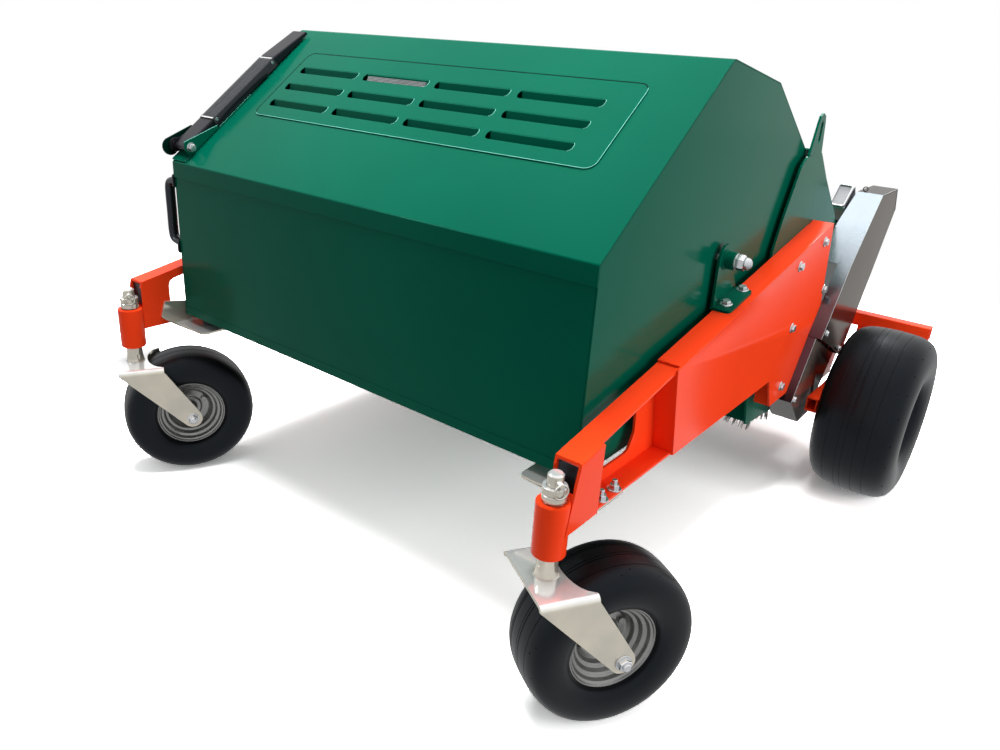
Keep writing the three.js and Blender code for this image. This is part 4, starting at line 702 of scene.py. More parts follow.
def round_axle(count, phase, x, radius):
    """Places in a ring round the axle, with Z out of the wheel's face."""
    for i in range(count):
        spin = Matrix.Rotation(2 * math.pi / count * i + phase, 4, "X")
        yield spin @ Matrix.Translation((x * MM, 0, radius * MM)) @ (SIDEWAYS if x > 0 else UPRIGHT)


def make_castor_wheels():
    for side, sign in SIDES.items():
        place = castor_place(side)[0]
        body = f"castor_wheel_{side}"
        make_tyre(
            f"tyre_castor_{side}", body, f"castor_tyre_{side}", place, CASTOR_TYRE, CASTOR_GROOVES,
            CASTOR_GROOVE_SIZE, CASTOR_PIPS, sign + 5)
        form = Form(place)
        face = soften(CASTOR_RIM, 4, False)
        form.turned(face + [(-x, r) for x, r in reversed(face)], RIM_STEPS)
        for x in (-4, 4):
            for bolt in round_axle(4, 0.5, x, 41):
                hex_head(form, bolt, 13 * MM, 6 * MM)
        form.turned(CASTOR_HUB, 32)
        form.finish(f"rim_castor_{side}", body, "rim_paint", [f"castor_rim_{side}"])
        valve = Form(place)
        stem = Matrix.Rotation(0.45, 4, "X") @ Matrix.Translation((34 * MM, 0, 66 * MM))
        tilt = stem @ Matrix.Rotation(1.25, 4, "Y")
        disc(valve, tilt, 4.2 * MM, -4 * MM, 12 * MM, 1 * MM, 14)
        disc(valve, tilt, 3 * MM, 10 * MM, 19 * MM, 0.8 * MM, 14)
        valve.finish(f"valve_castor_{side}", body, "rubber")


def make_rear_wheels():
    for side, sign in SIDES.items():
        place = rear_place(side)
        body = f"rear_wheel_{side}"
        make_tyre(
            f"tyre_rear_{side}", body, f"rear_tyre_{side}", place, REAR_TYRE, REAR_GROOVES,
            REAR_GROOVE_SIZE, REAR_PIPS, sign + 11)
        form = Form(place)
        form.turned(soften(REAR_RIM, 4), RIM_STEPS)
        bolts = Form(place)
        for bolt in round_axle(5, 0.2, 24, 66):
            disc(form, bolt, 8 * MM, -1 * MM, 1.5 * MM)
            stud_nut(bolts, bolt, 17 * MM, 5 * MM)
        form.turned(REAR_HUB, 40)
        form.finish(f"rim_rear_{side}", body, "rim_paint", [f"rear_rim_{side}"])
        bolts.finish(f"wheel_nuts_{side}", body, "fastener")


# Castor forks, with the stems, collars and pins that hold their height, and the tubes that carry them
FORK_HALF = 85 * MM
FORK_SHEET = 7 * MM
FORK_TOP = 314 * MM
FORK_BEND = 13 * MM
FORK_SHOULDER = 10 * MM
FORK_FRONT = -45 * MM
FORK_REAR = 62 * MM
FORK_TIP = 24 * MM
FORK_NOTCH = 34 * MM
FORK_NOTCH_HALF = 69 * MM
AXLE_HIGH = 164.5 * MM
STEM = scaled([
    (306.5, 0), (306.5, 22.4), (315.5, 22.4, 1), (322, 20.6, 5), (334, 19, 8), (456, 19), (458, 17, 1),
    (458, 14), (505, 14), (508, 11), (508, 0)])
COLLARS = ((458.3, 471.4), (471.9, 485.3))
SLEEVE = scaled([
    (353.2, 19.7), (353.2, 25, 1), (356.2, 30, 3.5), (455, 30, 3.5), (458, 26.6, 1.5), (456.8, 24, 1),
    (456.8, 19.7)])


def fork_edges(z, trail):
    """Front and rear edge of a fork leg at height z: straight runs that touch its round tip."""
    hub = Vector((trail, AXLE_HIGH))
    edges = []
    for edge, sign in ((FORK_FRONT, -1), (FORK_REAR, 1)):
        corner = Vector((edge, FORK_TOP - FORK_SHOULDER))
        run = hub - corner
        heading = math.atan2(run.y, run.x) + sign * math.asin(FORK_TIP / run.length)
        length = math.sqrt(run.length ** 2 - FORK_TIP ** 2)
        touch = corner + Vector((math.cos(heading), math.sin(heading))) * length
        if z >= touch.y:
            share = min((z - touch.y) / (corner.y - touch.y), 1.0)
            edges.append(touch.x + (corner.x - touch.x) * share)
        else:
            half = math.sqrt(max(FORK_TIP ** 2 - (z - AXLE_HIGH) ** 2, 0))
            edges.append(trail + sign * half)
    return edges


def fork_stations(trail):
    """Rings across the bent sheet, from one leg's tip over the top to the other's."""
    low = AXLE_HIGH - FORK_TIP
    down = [low + FORK_TIP * (1 - math.cos(t * math.pi / 20)) for t in range(10)]
    down += [AXLE_HIGH + (FORK_TOP - FORK_BEND - AXLE_HIGH) * i / 12 for i in range(13)]
    rings = []
    for z in down:
        front, rear = fork_edges(z, trail)
        rings.append([
            (FORK_HALF, front, z), (FORK_HALF, rear, z),
            (FORK_HALF - FORK_SHEET, rear, z), (FORK_HALF - FORK_SHEET, front, z)])
    for i in range(1, 9):
        t = math.pi / 2 * i / 8
        ring = []
        for radius, edge in ((FORK_BEND, FORK_FRONT), (FORK_BEND, FORK_REAR),
                             (FORK_BEND - FORK_SHEET, FORK_REAR), (FORK_BEND - FORK_SHEET, FORK_FRONT)):
            ring.append((FORK_HALF - FORK_BEND + radius * math.cos(t), edge,
                         FORK_TOP - FORK_BEND + radius * math.sin(t)))
        rings.append(ring)
    reach = FORK_HALF - FORK_BEND
    for i in range(1, 16):
        x = reach * (1 - i / 16 * 2)
        span = min(abs(x) / FORK_NOTCH_HALF, 1)
        rear = FORK_REAR - FORK_NOTCH * math.sqrt(1 - span ** 2)
        rings.append([
            (x, FORK_FRONT, FORK_TOP), (x, rear, FORK_TOP),
            (x, rear, FORK_TOP - FORK_SHEET), (x, FORK_FRONT, FORK_TOP - FORK_SHEET)])
    half = rings[:31]
    return rings + [[(-x, y, z) for x, y, z in ring] for ring in reversed(half)]


def make_linch_pin(side, place):
    """Pin through the stem, with its spring ring laid over the collars."""
    pin = Form(place)
    high = 495.3 * MM
    pin.tube([(x * MM, 0, high) for x in (-21.4, -20.4, 24, 25.4)],
             [3.6 * MM, 4.9 * MM, 4.9 * MM, 3.9 * MM], 20)
    loop = []
    for t in range(40):
        turn = 2 * math.pi * t / 40
        loop.append(((23.7 - 1.2 * math.sin(turn)) * MM, 12.6 * MM * math.sin(turn),
                     high - 11 * MM + 12.8 * MM * math.cos(turn)))
    pin.tube(loop, 1.7 * MM, 10, True)
    pin.finish(f"linch_{side}", f"castor_{side}", "zinc_plate", [f"linch_pin_{side}"])


def make_castor_axle(side, wheel):
    axle = Form(wheel)
    for sign, outward in ((-1, UPRIGHT), (1, SIDEWAYS)):
        face = Matrix.Translation((sign * (FORK_HALF + 0.3 * MM), 0, 0)) @ outward
        disc(axle, face, 15.5 * MM, 0, 2.2 * MM)
        hex_head(axle, face, 22 * MM, 9.2 * MM, 2.0 * MM)
    disc(axle, Matrix.Translation((FORK_HALF, 0, 0)) @ SIDEWAYS, 7.8 * MM, 0, 16 * MM, 1.4 * MM, 24)
    disc(axle, SIDEWAYS, 8 * MM, -FORK_HALF, FORK_HALF, 0.4 * MM, 24)
    axle.finish(f"axle_{side}", f"castor_{side}", "fastener", [f"castor_axle_{side}"])


def make_forks():
    for side in SIDES:
        wheel, trail = castor_place(side)
        kingpin = middle(f"kingpin_tube_{side}")
        place = Matrix.Translation((kingpin.x, kingpin.y, 0)) @ wheel.to_3x3().to_4x4()
        body = f"castor_{side}"
        fork = Form(place)
        fork.loft(fork_stations(trail))
        fork.finish(f"fork_sheet_{side}", body, "zinc_plate", [f"castor_fork_{side}"], 0.9 * MM)
        stem = Form(place)
        stem.turned(soften(STEM, 4, False), 48, UPRIGHT)
        weld_ring(stem, 22.9 * MM, FORK_TOP + 0.4 * MM, 0.95, 0.15, 2.1, 72)
        stem.finish(f"stem_{side}", body, "zinc_plate")
        collars = Form(place)
        for low, high in COLLARS:
            collars.turned(scaled([
                (low, 14.6), (low, 20.6), (low + 0.9, 21.5), (high - 0.9, 21.5), (high, 20.6),
                (high, 14.6)]), 48, UPRIGHT)
        collars.finish(f"collars_{side}", body, "zinc_plate", [f"castor_collar_{side}"])
        make_linch_pin(side, place)
        make_castor_axle(side, wheel)
        tube = Form(place)
        tube.turned(soften(SLEEVE, 4), 56, UPRIGHT)
        tube.finish(f"sleeve_{side}", "chassis", "orange_paint", [f"kingpin_tube_{side}"])


# Bolts on the arms, the pivot brackets and the belt guards
ARM_OUTER = 684
ARM_BOLTS = ((-198, 720), (-366, 685), (-113, 578), (-329, 519), (-318, 356))
GUARD_BOLTS = ((720, -128, 464), (720, 45, 376), (706, -251, 304))
ARM_FRONT = -1310
ARM_FRONT_TOP = 524
ARM_SLOPE = 0.2
FOOT_TOP = 11.8
FOOT_BOLTS = ((648, -711), (649, -631))
PIVOT = (-710, 748.6)


def arm_top(y):
    return ARM_FRONT_TOP + ARM_SLOPE * (y - ARM_FRONT)


def make_bolts():
    arm_normal = Vector((0, -ARM_SLOPE, 1))
    draw = random.Random(3)
    for side, sign in SIDES.items():
        bolts = Form()
        for y, z in ARM_BOLTS:
            spin = Matrix.Rotation(draw.uniform(0, 1), 4, "Z")
            flange_bolt(bolts, facing(spot(sign * ARM_OUTER, y, z), ACROSS * sign) @ spin, 17 * MM)
        for x, y in FOOT_BOLTS:
            spin = Matrix.Rotation(draw.uniform(0, 1), 4, "Z")
            place = facing(spot(sign * x, y, arm_top(y) + FOOT_TOP), arm_normal, ACROSS)
            flange_bolt(bolts, place @ spin, 17 * MM)
        bolts.finish(f"arm_bolts_{side}", "chassis", "fastener")
    bolts = Form()
    for x, y, z in GUARD_BOLTS:
        flange_bolt(bolts, facing(spot(x, y, z), ACROSS), 13 * MM)
    bolts.finish("guard_bolts", "chassis", "fastener")


NUT_DOME = scaled([
    (672, 0), (672, 13.6), (675.5, 13.4, 2), (680.5, 12.2, 4), (684.8, 8.6, 4), (687, 3.4, 2), (687.2, 0)])


def make_pivots():
    """Pins with a flat head inside the hopper and a domed nut outside."""
    for side, sign in SIDES.items():
        place = facing(spot(0, *PIVOT), ACROSS * sign)
        pin = Form(place)
        level = Matrix.Identity(4)
        disc(pin, level, 19.5 * MM, 602.2 * MM, 607.6 * MM, 1.5 * MM)
        disc(pin, level, 10 * MM, 607 * MM, 672 * MM)
        disc(pin, level, 17.5 * MM, 653.3 * MM, 655.6 * MM)
        hex_head(pin, level, 30 * MM, 17.5 * MM, 655.4 * MM)
        pin.turned(soften(NUT_DOME, 4, False), 40, UPRIGHT)
        pin.finish(f"pin_{side}", "chassis", "fastener", [f"pivot_pin_{side}"])
        ring = Form(place)
        weld_ring(ring, 19.6 * MM, 631.4 * MM, 2.6, 0.4, 1.9, 60)
        ring.finish(f"boss_weld_{side}", "chassis", "green_paint")


# Tipping lever, its grip and its ears, on the slope of the lid
LID_FRONT = (-1207.3, 819)
LID_ANGLE = math.radians(37.836)
LEVER_LEFT = -621.5
LEVER_RIGHT = -566
LEVER_SHEET = 3
LEVER_LOW = 5
LEVER_HIGH = 26
LEVER_DIP = 14
LEVER_END = 500
LEVER_PIVOT = (40, 18)
LEVER_NOSE = 12.9 * MM
BRACE_ARCH = [(134, 5), (160, 9), (200, 11), (250, 10), (300, 8), (330, 5)]
BRACE_DEPTH = 7
OUTER_EAR = -630
EAR_SHEET = 5
# Painted highlight strips along the foot plate's right and top edges
EAR_HIGHLIGHTS = (
    ((-561.6, 134), (-560.6, 134), (-560.6, 257), (-561.6, 257)),
    ((-582, 255.9), (-561, 255.9), (-561, 257.1), (-582, 257.1)))
FOOT_STUDS = ((-569, 150), (-569, 235))
GRIP_START = 132
GRIP_END = 370
TREAD_PITCH = 4.4
TREAD_SECTION = ((0, 1.6), (0.5, 2.6), (1.9, 2.6), (2.4, 1.6))


def lid_place():
    """Frame on the lid: X across, Y up the slope, Z off the sheet."""
    rise = Vector((0, math.cos(LID_ANGLE), math.sin(LID_ANGLE)))
    return place_at(spot(0, *LID_FRONT), ACROSS, ACROSS.cross(rise))


def make_lever_channel(place):
    lever = Form(place)
    inner_left, inner_right = LEVER_LEFT + LEVER_SHEET, LEVER_RIGHT - LEVER_SHEET
    section = soften(scaled([
        (LEVER_LEFT, LEVER_LOW), (LEVER_LEFT, LEVER_HIGH, 4), (LEVER_RIGHT, LEVER_HIGH, 4),
        (LEVER_RIGHT, LEVER_LOW), (inner_right, LEVER_LOW), (inner_right, LEVER_HIGH - LEVER_SHEET, 1.5),
        (inner_left, LEVER_HIGH - LEVER_SHEET, 1.5), (inner_left, LEVER_LOW)]), 4)
    tip = 1 - LEVER_DIP / (LEVER_HIGH - LEVER_LOW)
    stations = [
        (29.5, 0.66), (33, 0.86), (40, 0.97), (52, 1), (GRIP_END + 4, 1), (GRIP_END + 12, 0.99),
        (LEVER_END - 1.5, tip), (LEVER_END, tip * 0.95)]
    rings = []
    for t, share in stations:
        rings.append([(x, t * MM, (LEVER_LOW + (z / MM - LEVER_LOW) * share) * MM) for x, z in section])
    lever.loft(rings)
    nose = arc(LEVER_PIVOT[0] * MM, LEVER_PIVOT[1] * MM, LEVER_NOSE, math.pi / 2, math.pi * 1.5, 12)
    cheek = [*nose, (70 * MM, LEVER_LOW * MM), (70 * MM, (LEVER_HIGH - 1) * MM)]
    for x in (LEVER_LEFT, inner_right):
        lever.prism(cheek, x * MM, (x + LEVER_SHEET) * MM)
    arch = spline(BRACE_ARCH, 6)
    brace = arch + [(s, n + BRACE_DEPTH) for s, n in reversed(arch)]
    lever.prism(scaled(brace), (LEVER_RIGHT + 2.6) * MM, (LEVER_RIGHT + 5.2) * MM)
    lever.finish("lever_channel", "lever", "black_paint", ["tip_lever"], 0.6 * MM)


def make_lever_grip(place):
    """Rubber sleeve with two rows of treads, and the bright bands and rivets at its ends."""
    grip = Form(place)
    low, high = LEVER_LOW + 0.5, LEVER_HIGH + 0.2
    wall = soften(scaled([
        (LEVER_LEFT - 2.4, low), (LEVER_LEFT - 2.4, high - 3, 5), (LEVER_LEFT + 9, high + 2, 4),
        (LEVER_RIGHT + 2.4, high + 2, 3), (LEVER_RIGHT + 2.4, low), (LEVER_RIGHT + 0.3, low),
        (LEVER_RIGHT + 0.3, high, 1.5),
        (LEVER_LEFT - 0.3, high, 1.5), (LEVER_LEFT - 0.3, low)]), 4)
    grip.loft([[(x, t * MM, z) for x, z in wall] for t in (GRIP_START, GRIP_END)])
    for i in range(int((GRIP_END - GRIP_START - 16) / TREAD_PITCH)):
        t = GRIP_START + 9 + i * TREAD_PITCH
        for start, end, lean in ((LEVER_LEFT + 11, -593, 1.2), (-589, LEVER_RIGHT - 2, -1.2)):
            grip.loft([
                scaled([(x, t + slant + a, high + b) for a, b in TREAD_SECTION])
                for x, slant in ((start, 0), (end, lean))])
    grip.finish("grip_tread", "lever", "grip", ["lever_grip"])
    trim = Form(place)
    left, right = LEVER_LEFT + 9, LEVER_RIGHT + 1
    band = ((left, 1.6), (left, 2.5), (right, 2.5), (right, 1.6))
    for t in (GRIP_START + 1, GRIP_END - 5):
        trim.loft([scaled([(x, s, high + z) for x, z in band]) for s in (t, t + 4)])
    for t in (GRIP_START + 9, GRIP_END - 9):
        rivet = Matrix.Translation(Vector((LEVER_RIGHT + 2.6, t, 20)) * MM) @ SIDEWAYS
        disc(trim, rivet, 4 * MM, 0, 0.7 * MM, 0.3 * MM, 16)
    trim.finish("grip_edges", "lever", "fastener")


def make_lever_ears(place):
    """Foot plate with the inner ear, the outer ear in painted shade, the spacer between and painted
    highlight strips along the edges.
    """
    ears = Form(place)
    inner = soften(scaled([(24, 0.3, 4), (128, 0.3, 3), (131, 9, 3), (34, 38.5, 7), (24, 24, 10)]), 5)
    ears.prism(inner, (LEVER_RIGHT + 0.3) * MM, (LEVER_RIGHT + 0.3 + EAR_SHEET) * MM)
    foot = soften(scaled([(-621, 5, 5), (-560.7, 5, 5), (-560.7, 257, 5), (-621, 257, 5)]), 4)
    ears.loft([[(x, t, n * MM) for x, t in foot] for n in (0.3, 3.3)])
    ears.finish("lever_ears", "hopper", "green_paint", ["lever_bracket"], 0.8 * MM)
    far = Form(place)
    outer = arc(28, 21, 21.5, math.radians(70), math.radians(255), 18)
    far.prism(scaled([*outer, (118, 0.3), (106, 22)]), (OUTER_EAR - EAR_SHEET) * MM, OUTER_EAR * MM)
    # The outer ear is coloured in painted shade, darker than the green inner ear
    far.finish("lever_far_ear", "hopper", "groove", corner=0.8 * MM)
    spacer = Form(place @ Matrix.Translation(Vector((0, *LEVER_PIVOT)) * MM))
    disc(spacer, SIDEWAYS, 17 * MM, OUTER_EAR * MM, (LEVER_LEFT - 0.4) * MM)
    spacer.finish("lever_spacer", "hopper", "moulding")
    # Painted highlight strips on the foot plate's edges and along the inner ear's crest
    rim = Form(place)
    for outline in EAR_HIGHLIGHTS:
        rim.loft([scaled([(x, s, n) for x, s in outline]) for n in (3.2, 3.5)])
    crest = LEVER_RIGHT + 5.1
    rim.tube(scaled([(crest, 131.5, 9.6), (crest, 34, 39.2)]), 0.7 * MM, 6)
    rim.finish("lever_ear_highlights", "hopper", "glint")


def make_lever_bolt(place):
    """Bolt through the ears, and two studs on their foot."""
    bolt = Form(place @ Matrix.Translation(Vector((0, *LEVER_PIVOT)) * MM))
    disc(bolt, SIDEWAYS, 5.8 * MM, -625 * MM, -550 * MM, 1 * MM, 24)
    right = Matrix.Translation(((LEVER_RIGHT + 0.4 + EAR_SHEET) * MM, 0, 0)) @ SIDEWAYS
    disc(bolt, right, 11.5 * MM, 0, 1.8 * MM)
    hex_head(bolt, right, 16.5 * MM, 8 * MM, 1.8 * MM)
    left = Matrix.Translation(((OUTER_EAR - 0.1 - EAR_SHEET) * MM, 0, 0)) @ UPRIGHT
    hex_head(bolt, left, 16.5 * MM, 4.4 * MM)
    for x, t in FOOT_STUDS:
        top = Matrix.Translation(Vector((x, t - LEVER_PIVOT[0], 3.3 - LEVER_PIVOT[1])) * MM)
        disc(bolt, top, 4.2 * MM, 0, 1.5 * MM, 0.6 * MM, 16)
    bolt.finish("lever_bolt", "hopper", "fastener")


def make_lever():
    place = lid_place()
    make_lever_channel(place)
    make_lever_grip(place)
    make_lever_ears(place)
    make_lever_bolt(place)


# Grab handle: a moulded bar on the hopper's left side, with a foot and a bolt at each end
HANDLE_Y = -1196
HANDLE_WALL = -615.3
HANDLE_OUT = -655
HANDLE_LOW = 614
HANDLE_HIGH = 768


def make_handle():
    middle_x = (HANDLE_WALL + HANDLE_OUT) / 2
    centre_z = (HANDLE_LOW + HANDLE_HIGH) / 2
    corners = [
        (HANDLE_WALL + 0.1, HANDLE_LOW - 2), (middle_x, HANDLE_LOW), (HANDLE_OUT + 6, HANDLE_LOW + 5),
        (HANDLE_OUT, HANDLE_LOW + 22), (HANDLE_OUT, centre_z), (HANDLE_OUT, HANDLE_HIGH - 22),
        (HANDLE_OUT + 6, HANDLE_HIGH - 5), (middle_x, HANDLE_HIGH), (HANDLE_WALL + 0.1, HANDLE_HIGH + 2)]
    line = spline(corners, 8)
    bar = Form()
    rings = []
    for i, (x, z) in enumerate(line):
        before = Vector(line[max(i - 1, 0)])
        after = Vector(line[min(i + 1, len(line) - 1)])
        along = (after - before).normalized()
        if i in (0, len(line) - 1):
            along = Vector((-1 if i == 0 else 1, 0))
        side = Vector((along.y, -along.x))
        ring = []
        for k in range(20):
            turn = 2 * math.pi * k / 20
            reach = side * 9.6 * math.cos(turn)
            ring.append(spot(x + reach.x, HANDLE_Y + 13 * math.sin(turn), z + reach.y))
        rings.append(ring)
    bar.loft(rings)
    for z in (HANDLE_LOW - 12, HANDLE_HIGH + 2):
        foot = soften(scaled([(-14, -12, 7), (14, -12, 7), (14, 22, 7), (-14, 22, 7)]), 5)
        place = Matrix.Translation(spot(0, HANDLE_Y, z - 4))
        bar.prism(foot, (HANDLE_WALL - 5) * MM, HANDLE_WALL * MM, place)
    bar.finish("handle_bar", "hopper", "moulding", ["grab_handle"], 1.2 * MM, 3)
    bolts = Form()
    for z in (HANDLE_LOW - 17, HANDLE_HIGH + 17):
        place = facing(spot(HANDLE_WALL - 5, HANDLE_Y, z), -ACROSS)
        disc(bolts, place, 6.5 * MM, 0, 3.2 * MM, 1.6 * MM, 24)
    bolts.finish("handle_bolts", "hopper", "fastener")


# Brush: a core with rows of bristle tufts in a shallow V
ROTOR = (-115, 308)
BRUSH_HALF = 596
BRUSH_CORE = 70
BRUSH_TIP = 184
BRUSH_ROWS = 6
BRUSH_TWIST = 0.9
TUFT_PITCH = 13
TUFT_FINGERS = 5
TUFT_ROOT = 2
TUFT_SHAPE = ((0.0, 2.0), (0.5, 2.0), (1.0, 0.7))


def tuft_rings(x, turn, lean, drift, tip):
    """Tapered strand from inside the core to its tip, bent by its lean."""
    root = BRUSH_CORE - TUFT_ROOT
    limit = BRUSH_HALF - TUFT_ROOT
    rings = []
    for share, radius in TUFT_SHAPE:
        r = root + (tip - root) * share
        angle = turn + lean * share ** 1.5
        centre = Vector((
            min(max(x + drift * share, -limit), limit), r * math.cos(angle), r * math.sin(angle)))
        across = Vector((0, -math.sin(angle), math.cos(angle)))
        rings.append([(centre + ACROSS * radius * u + across * radius * v) * MM
                      for u, v in ((-1, -1), (1, -1), (1, 1), (-1, 1))])
    return rings


def make_brush():
    core = Form(Matrix.Translation(spot(0, *ROTOR)))
    tube = [(-BRUSH_HALF, 18), (-BRUSH_HALF, BRUSH_CORE, 2), (BRUSH_HALF, BRUSH_CORE, 2), (BRUSH_HALF, 18)]
    core.turned(soften(scaled(tube), 3), 64)
    core.finish("brush_core", "rotor", "bristle_core", ["rotor_brush"])
    draw = random.Random(21)
    tufts = Form(Matrix.Translation(spot(0, *ROTOR)))
    count = int(2 * BRUSH_HALF / TUFT_PITCH)
    for row in range(BRUSH_ROWS):
        for i in range(count):
            x = -BRUSH_HALF + (i + 0.5) * 2 * BRUSH_HALF / count
            turn = 2 * math.pi * row / BRUSH_ROWS + BRUSH_TWIST * abs(x) / BRUSH_HALF
            for _ in range(TUFT_FINGERS):
                lean = draw.uniform(-0.11, 0.11)
                drift = draw.uniform(-5, 5)
                tip = BRUSH_TIP - abs(draw.gauss(0, 3.5))
                tufts.loft(tuft_rings(x, turn, lean, drift, tip))
    tufts.finish("brush_tufts", "rotor", "bristle")


# Wire mesh behind one louvre, which follows the louvre's slope
VENT_SLOT_X = -136
VENT_SLOT_S = 366
SCREEN_HALF = 92
SCREEN_LOW = -9
SCREEN_HIGH = 6
SCREEN_DROP = 13.5 / 26 * 0.72
WIRE_PITCH = (4, 3)
WIRE_RADIUS = 0.55 * MM


def screen_point(x, s):
    """Point of the screen; x and s run from the slot's middle."""
    return Vector((VENT_SLOT_X + x, VENT_SLOT_S + s, 0.6 - (9 - s) * SCREEN_DROP)) * MM


def make_mesh_patch():
    mesh = Form(lid_place())
    for i in range(47):
        x = -SCREEN_HALF + i * WIRE_PITCH[0]
        mesh.tube([screen_point(x, SCREEN_LOW), screen_point(x, SCREEN_HIGH)], WIRE_RADIUS, 6)
    for k in range(6):
        s = SCREEN_LOW + k * WIRE_PITCH[1]
        mesh.tube([screen_point(-SCREEN_HALF, s), screen_point(SCREEN_HALF, s)], WIRE_RADIUS, 6)
    mesh.finish("screen_wire", "hopper", "stainless")


# Painted shade and highlight lines round the vent panel, and the louvres' ends with a painted highlight at
# each slot
VENT_HALF = 491
VENT_LOW = 196
VENT_HIGH = 432
VENT_CORNER = 22
# Piece name, finish, whether it runs along the lit edges, and inner and outer offsets: painted shade on
# unlit edges, painted highlight on lit ones
VENT_LINES = (("vent_shade_line", "groove", False, -2.4, 0.2), ("vent_highlight_line", "glint", True, -0.9, 0.4))
VENT_LINE_LEVELS = (2.15, 2.47)
SLOT_HALF_LENGTH = 103
SLOT_FIRST = (-364, 243)
SLOT_PITCH = (228, 61.5)
SLOT_HALF_HEIGHT = 12
SLOT_CORNER = 9
LOUVRE_REACH = 90.4
LOUVRE_GROWTH = 7.5


def make_vent_lines():
    """Painted lines round the panel: a painted highlight where its edge faces the light, and painted shade
    elsewhere.
    """
    outline = [Vector(p) for p in soften([
        (-VENT_HALF, VENT_HIGH, VENT_CORNER), (-VENT_HALF, VENT_LOW, VENT_CORNER),
        (VENT_HALF, VENT_LOW, VENT_CORNER), (VENT_HALF, VENT_HIGH, VENT_CORNER)], 10)]
    for name, slot, lit, inner, outer in VENT_LINES:
        form = Form(lid_place())
        for a, b in zip(outline, outline[1:] + outline[:1]):
            outward = Vector((b.y - a.y, a.x - b.x)).normalized()
            if (outward.x * 0.8 - outward.y > 0.2) == lit:
                lap = (b - a).normalized() * 0.2
                ring = [a - lap + outward * inner, b + lap + outward * inner, b + lap + outward * outer,
                        a - lap + outward * outer]
                form.loft([scaled([(p.x, p.y, n) for p in ring]) for n in VENT_LINE_LEVELS])
        form.finish(name, "hopper", slot)


def slot_middles():
    for row in range(3):
        for column in range(4):
            yield SLOT_FIRST[0] + column * SLOT_PITCH[0], SLOT_FIRST[1] + row * SLOT_PITCH[1]


def make_louvre_ends():
    """Ends of the louvres, and a painted highlight at the right end of each slot."""
    ends = Form(lid_place())
    glints = Form(lid_place())
    corner_x = SLOT_HALF_LENGTH - SLOT_CORNER + 0.4
    corner_s = SLOT_HALF_HEIGHT - SLOT_CORNER
    for x, s in slot_middles():
        top, low = s + SLOT_HALF_HEIGHT, s - SLOT_HALF_HEIGHT
        line = [(top + 2.4, 1.9), (top - 2.4, 1.9), (low + 9, -11), (low + 9.9, -11.9), (top - 2.4, 0.6),
                (top + 2.4, 0.6)]
        for sign in (-1, 1):
            start, end = sorted((x + sign * LOUVRE_REACH, x + sign * (LOUVRE_REACH + LOUVRE_GROWTH)))
            ends.prism(scaled(line), start * MM, end * MM)
        lower = arc(x + corner_x, s - corner_s, SLOT_CORNER, -1.4, 0, 5)
        upper = arc(x + corner_x, s + corner_s, SLOT_CORNER, 0, 0.9, 4)
        glints.tube(scaled([(u, v, 2.2) for u, v in lower + upper]), 0.75 * MM, 6)
    ends.finish("louvre_ends", "hopper", "green_paint")
    glints.finish("slot_glints", "hopper", "glint")


# Folded lip under the hopper's front and sides
SKIRT_DROP = 22
SKIRT_TOP = 444
SKIRT_FRONT = -1204.3
SKIRT_REAR = -905
SKIRT_TAPER = 40
SKIRT_HALF = 615.3
SKIRT_SHEET = 3


def make_skirt():
    form = Form()
    low = SKIRT_TOP - SKIRT_DROP
    form.box(spot(-SKIRT_HALF, SKIRT_FRONT, low), spot(SKIRT_HALF, SKIRT_FRONT + SKIRT_SHEET, SKIRT_TOP))
    front, rear = SKIRT_FRONT + DATUM_Y, SKIRT_REAR + DATUM_Y
    side = scaled([(front, low), (rear - SKIRT_TAPER, low), (rear, SKIRT_TOP), (front, SKIRT_TOP)])
    for sign in SIDES.values():
        start, end = sorted((sign * SKIRT_HALF, sign * (SKIRT_HALF - SKIRT_SHEET)))
        form.prism(side, start * MM, end * MM)
    form.finish("hopper_skirt", "hopper", "green_paint")


# Painted highlight along the outer edge of the belt guards, with a painted shade line by the fold beside it
BELT_RUN = (335, 447)
UPPER_LINE = ((-0.143, 0.3311), (0.26, 0.729), (0.785, 1.119), (1.293, 1.121), (1.4, 0.973))
LOWER_LINE = ((-0.143, 0.328), (-0.454, -0.022))
GUARD_EDGES = (
    ("upper", UPPER_LINE, 719.8, Vector((60, 560))), ("lower", LOWER_LINE, 705.8, Vector((-110, 320))))
# Kind, finish, inset and radius in millimetres: a bright plated line as painted highlight, and a painted
# shade line by the fold
EDGE_LINES = (("edge", "fastener", 1.0, 0.9), ("fold", "groove", 3.6, 0.8))


def run_at(line, i):
    """Direction of a line at its point i, from the point before to the one after."""
    return Vector(line[min(i + 1, len(line) - 1)]) - Vector(line[max(i - 1, 0)])


def make_guard_edges():
    for name, shares, face_x, inside in GUARD_EDGES:
        line = [Vector((ROTOR[0] + y * BELT_RUN[0], ROTOR[1] + z * BELT_RUN[1])) for y, z in shares]
        for kind, slot, inset, radius in EDGE_LINES:
            path = []
            for i, point in enumerate(line):
                run = run_at(line, i)
                normal = Vector((-run.y, run.x)).normalized()
                if normal.dot(inside - point) < 0:
                    normal.negate()
                path.append(spot(face_x, *(point + normal * inset)))
            form = Form()
            form.tube(path, radius * MM, 8)
            form.finish(f"{name}_guard_{kind}", "chassis", slot)


# Inner wall of the upper guard, above and behind the arm
GUARD_WALL = ((-28, 634), (66, 727), (148, 808), (318, 809), (354, 743))
GUARD_WALL_INNER = (637, 637, 651, 651, 651)
GUARD_WALL_OUTER = 684.2
GUARD_SHEET = 2.5


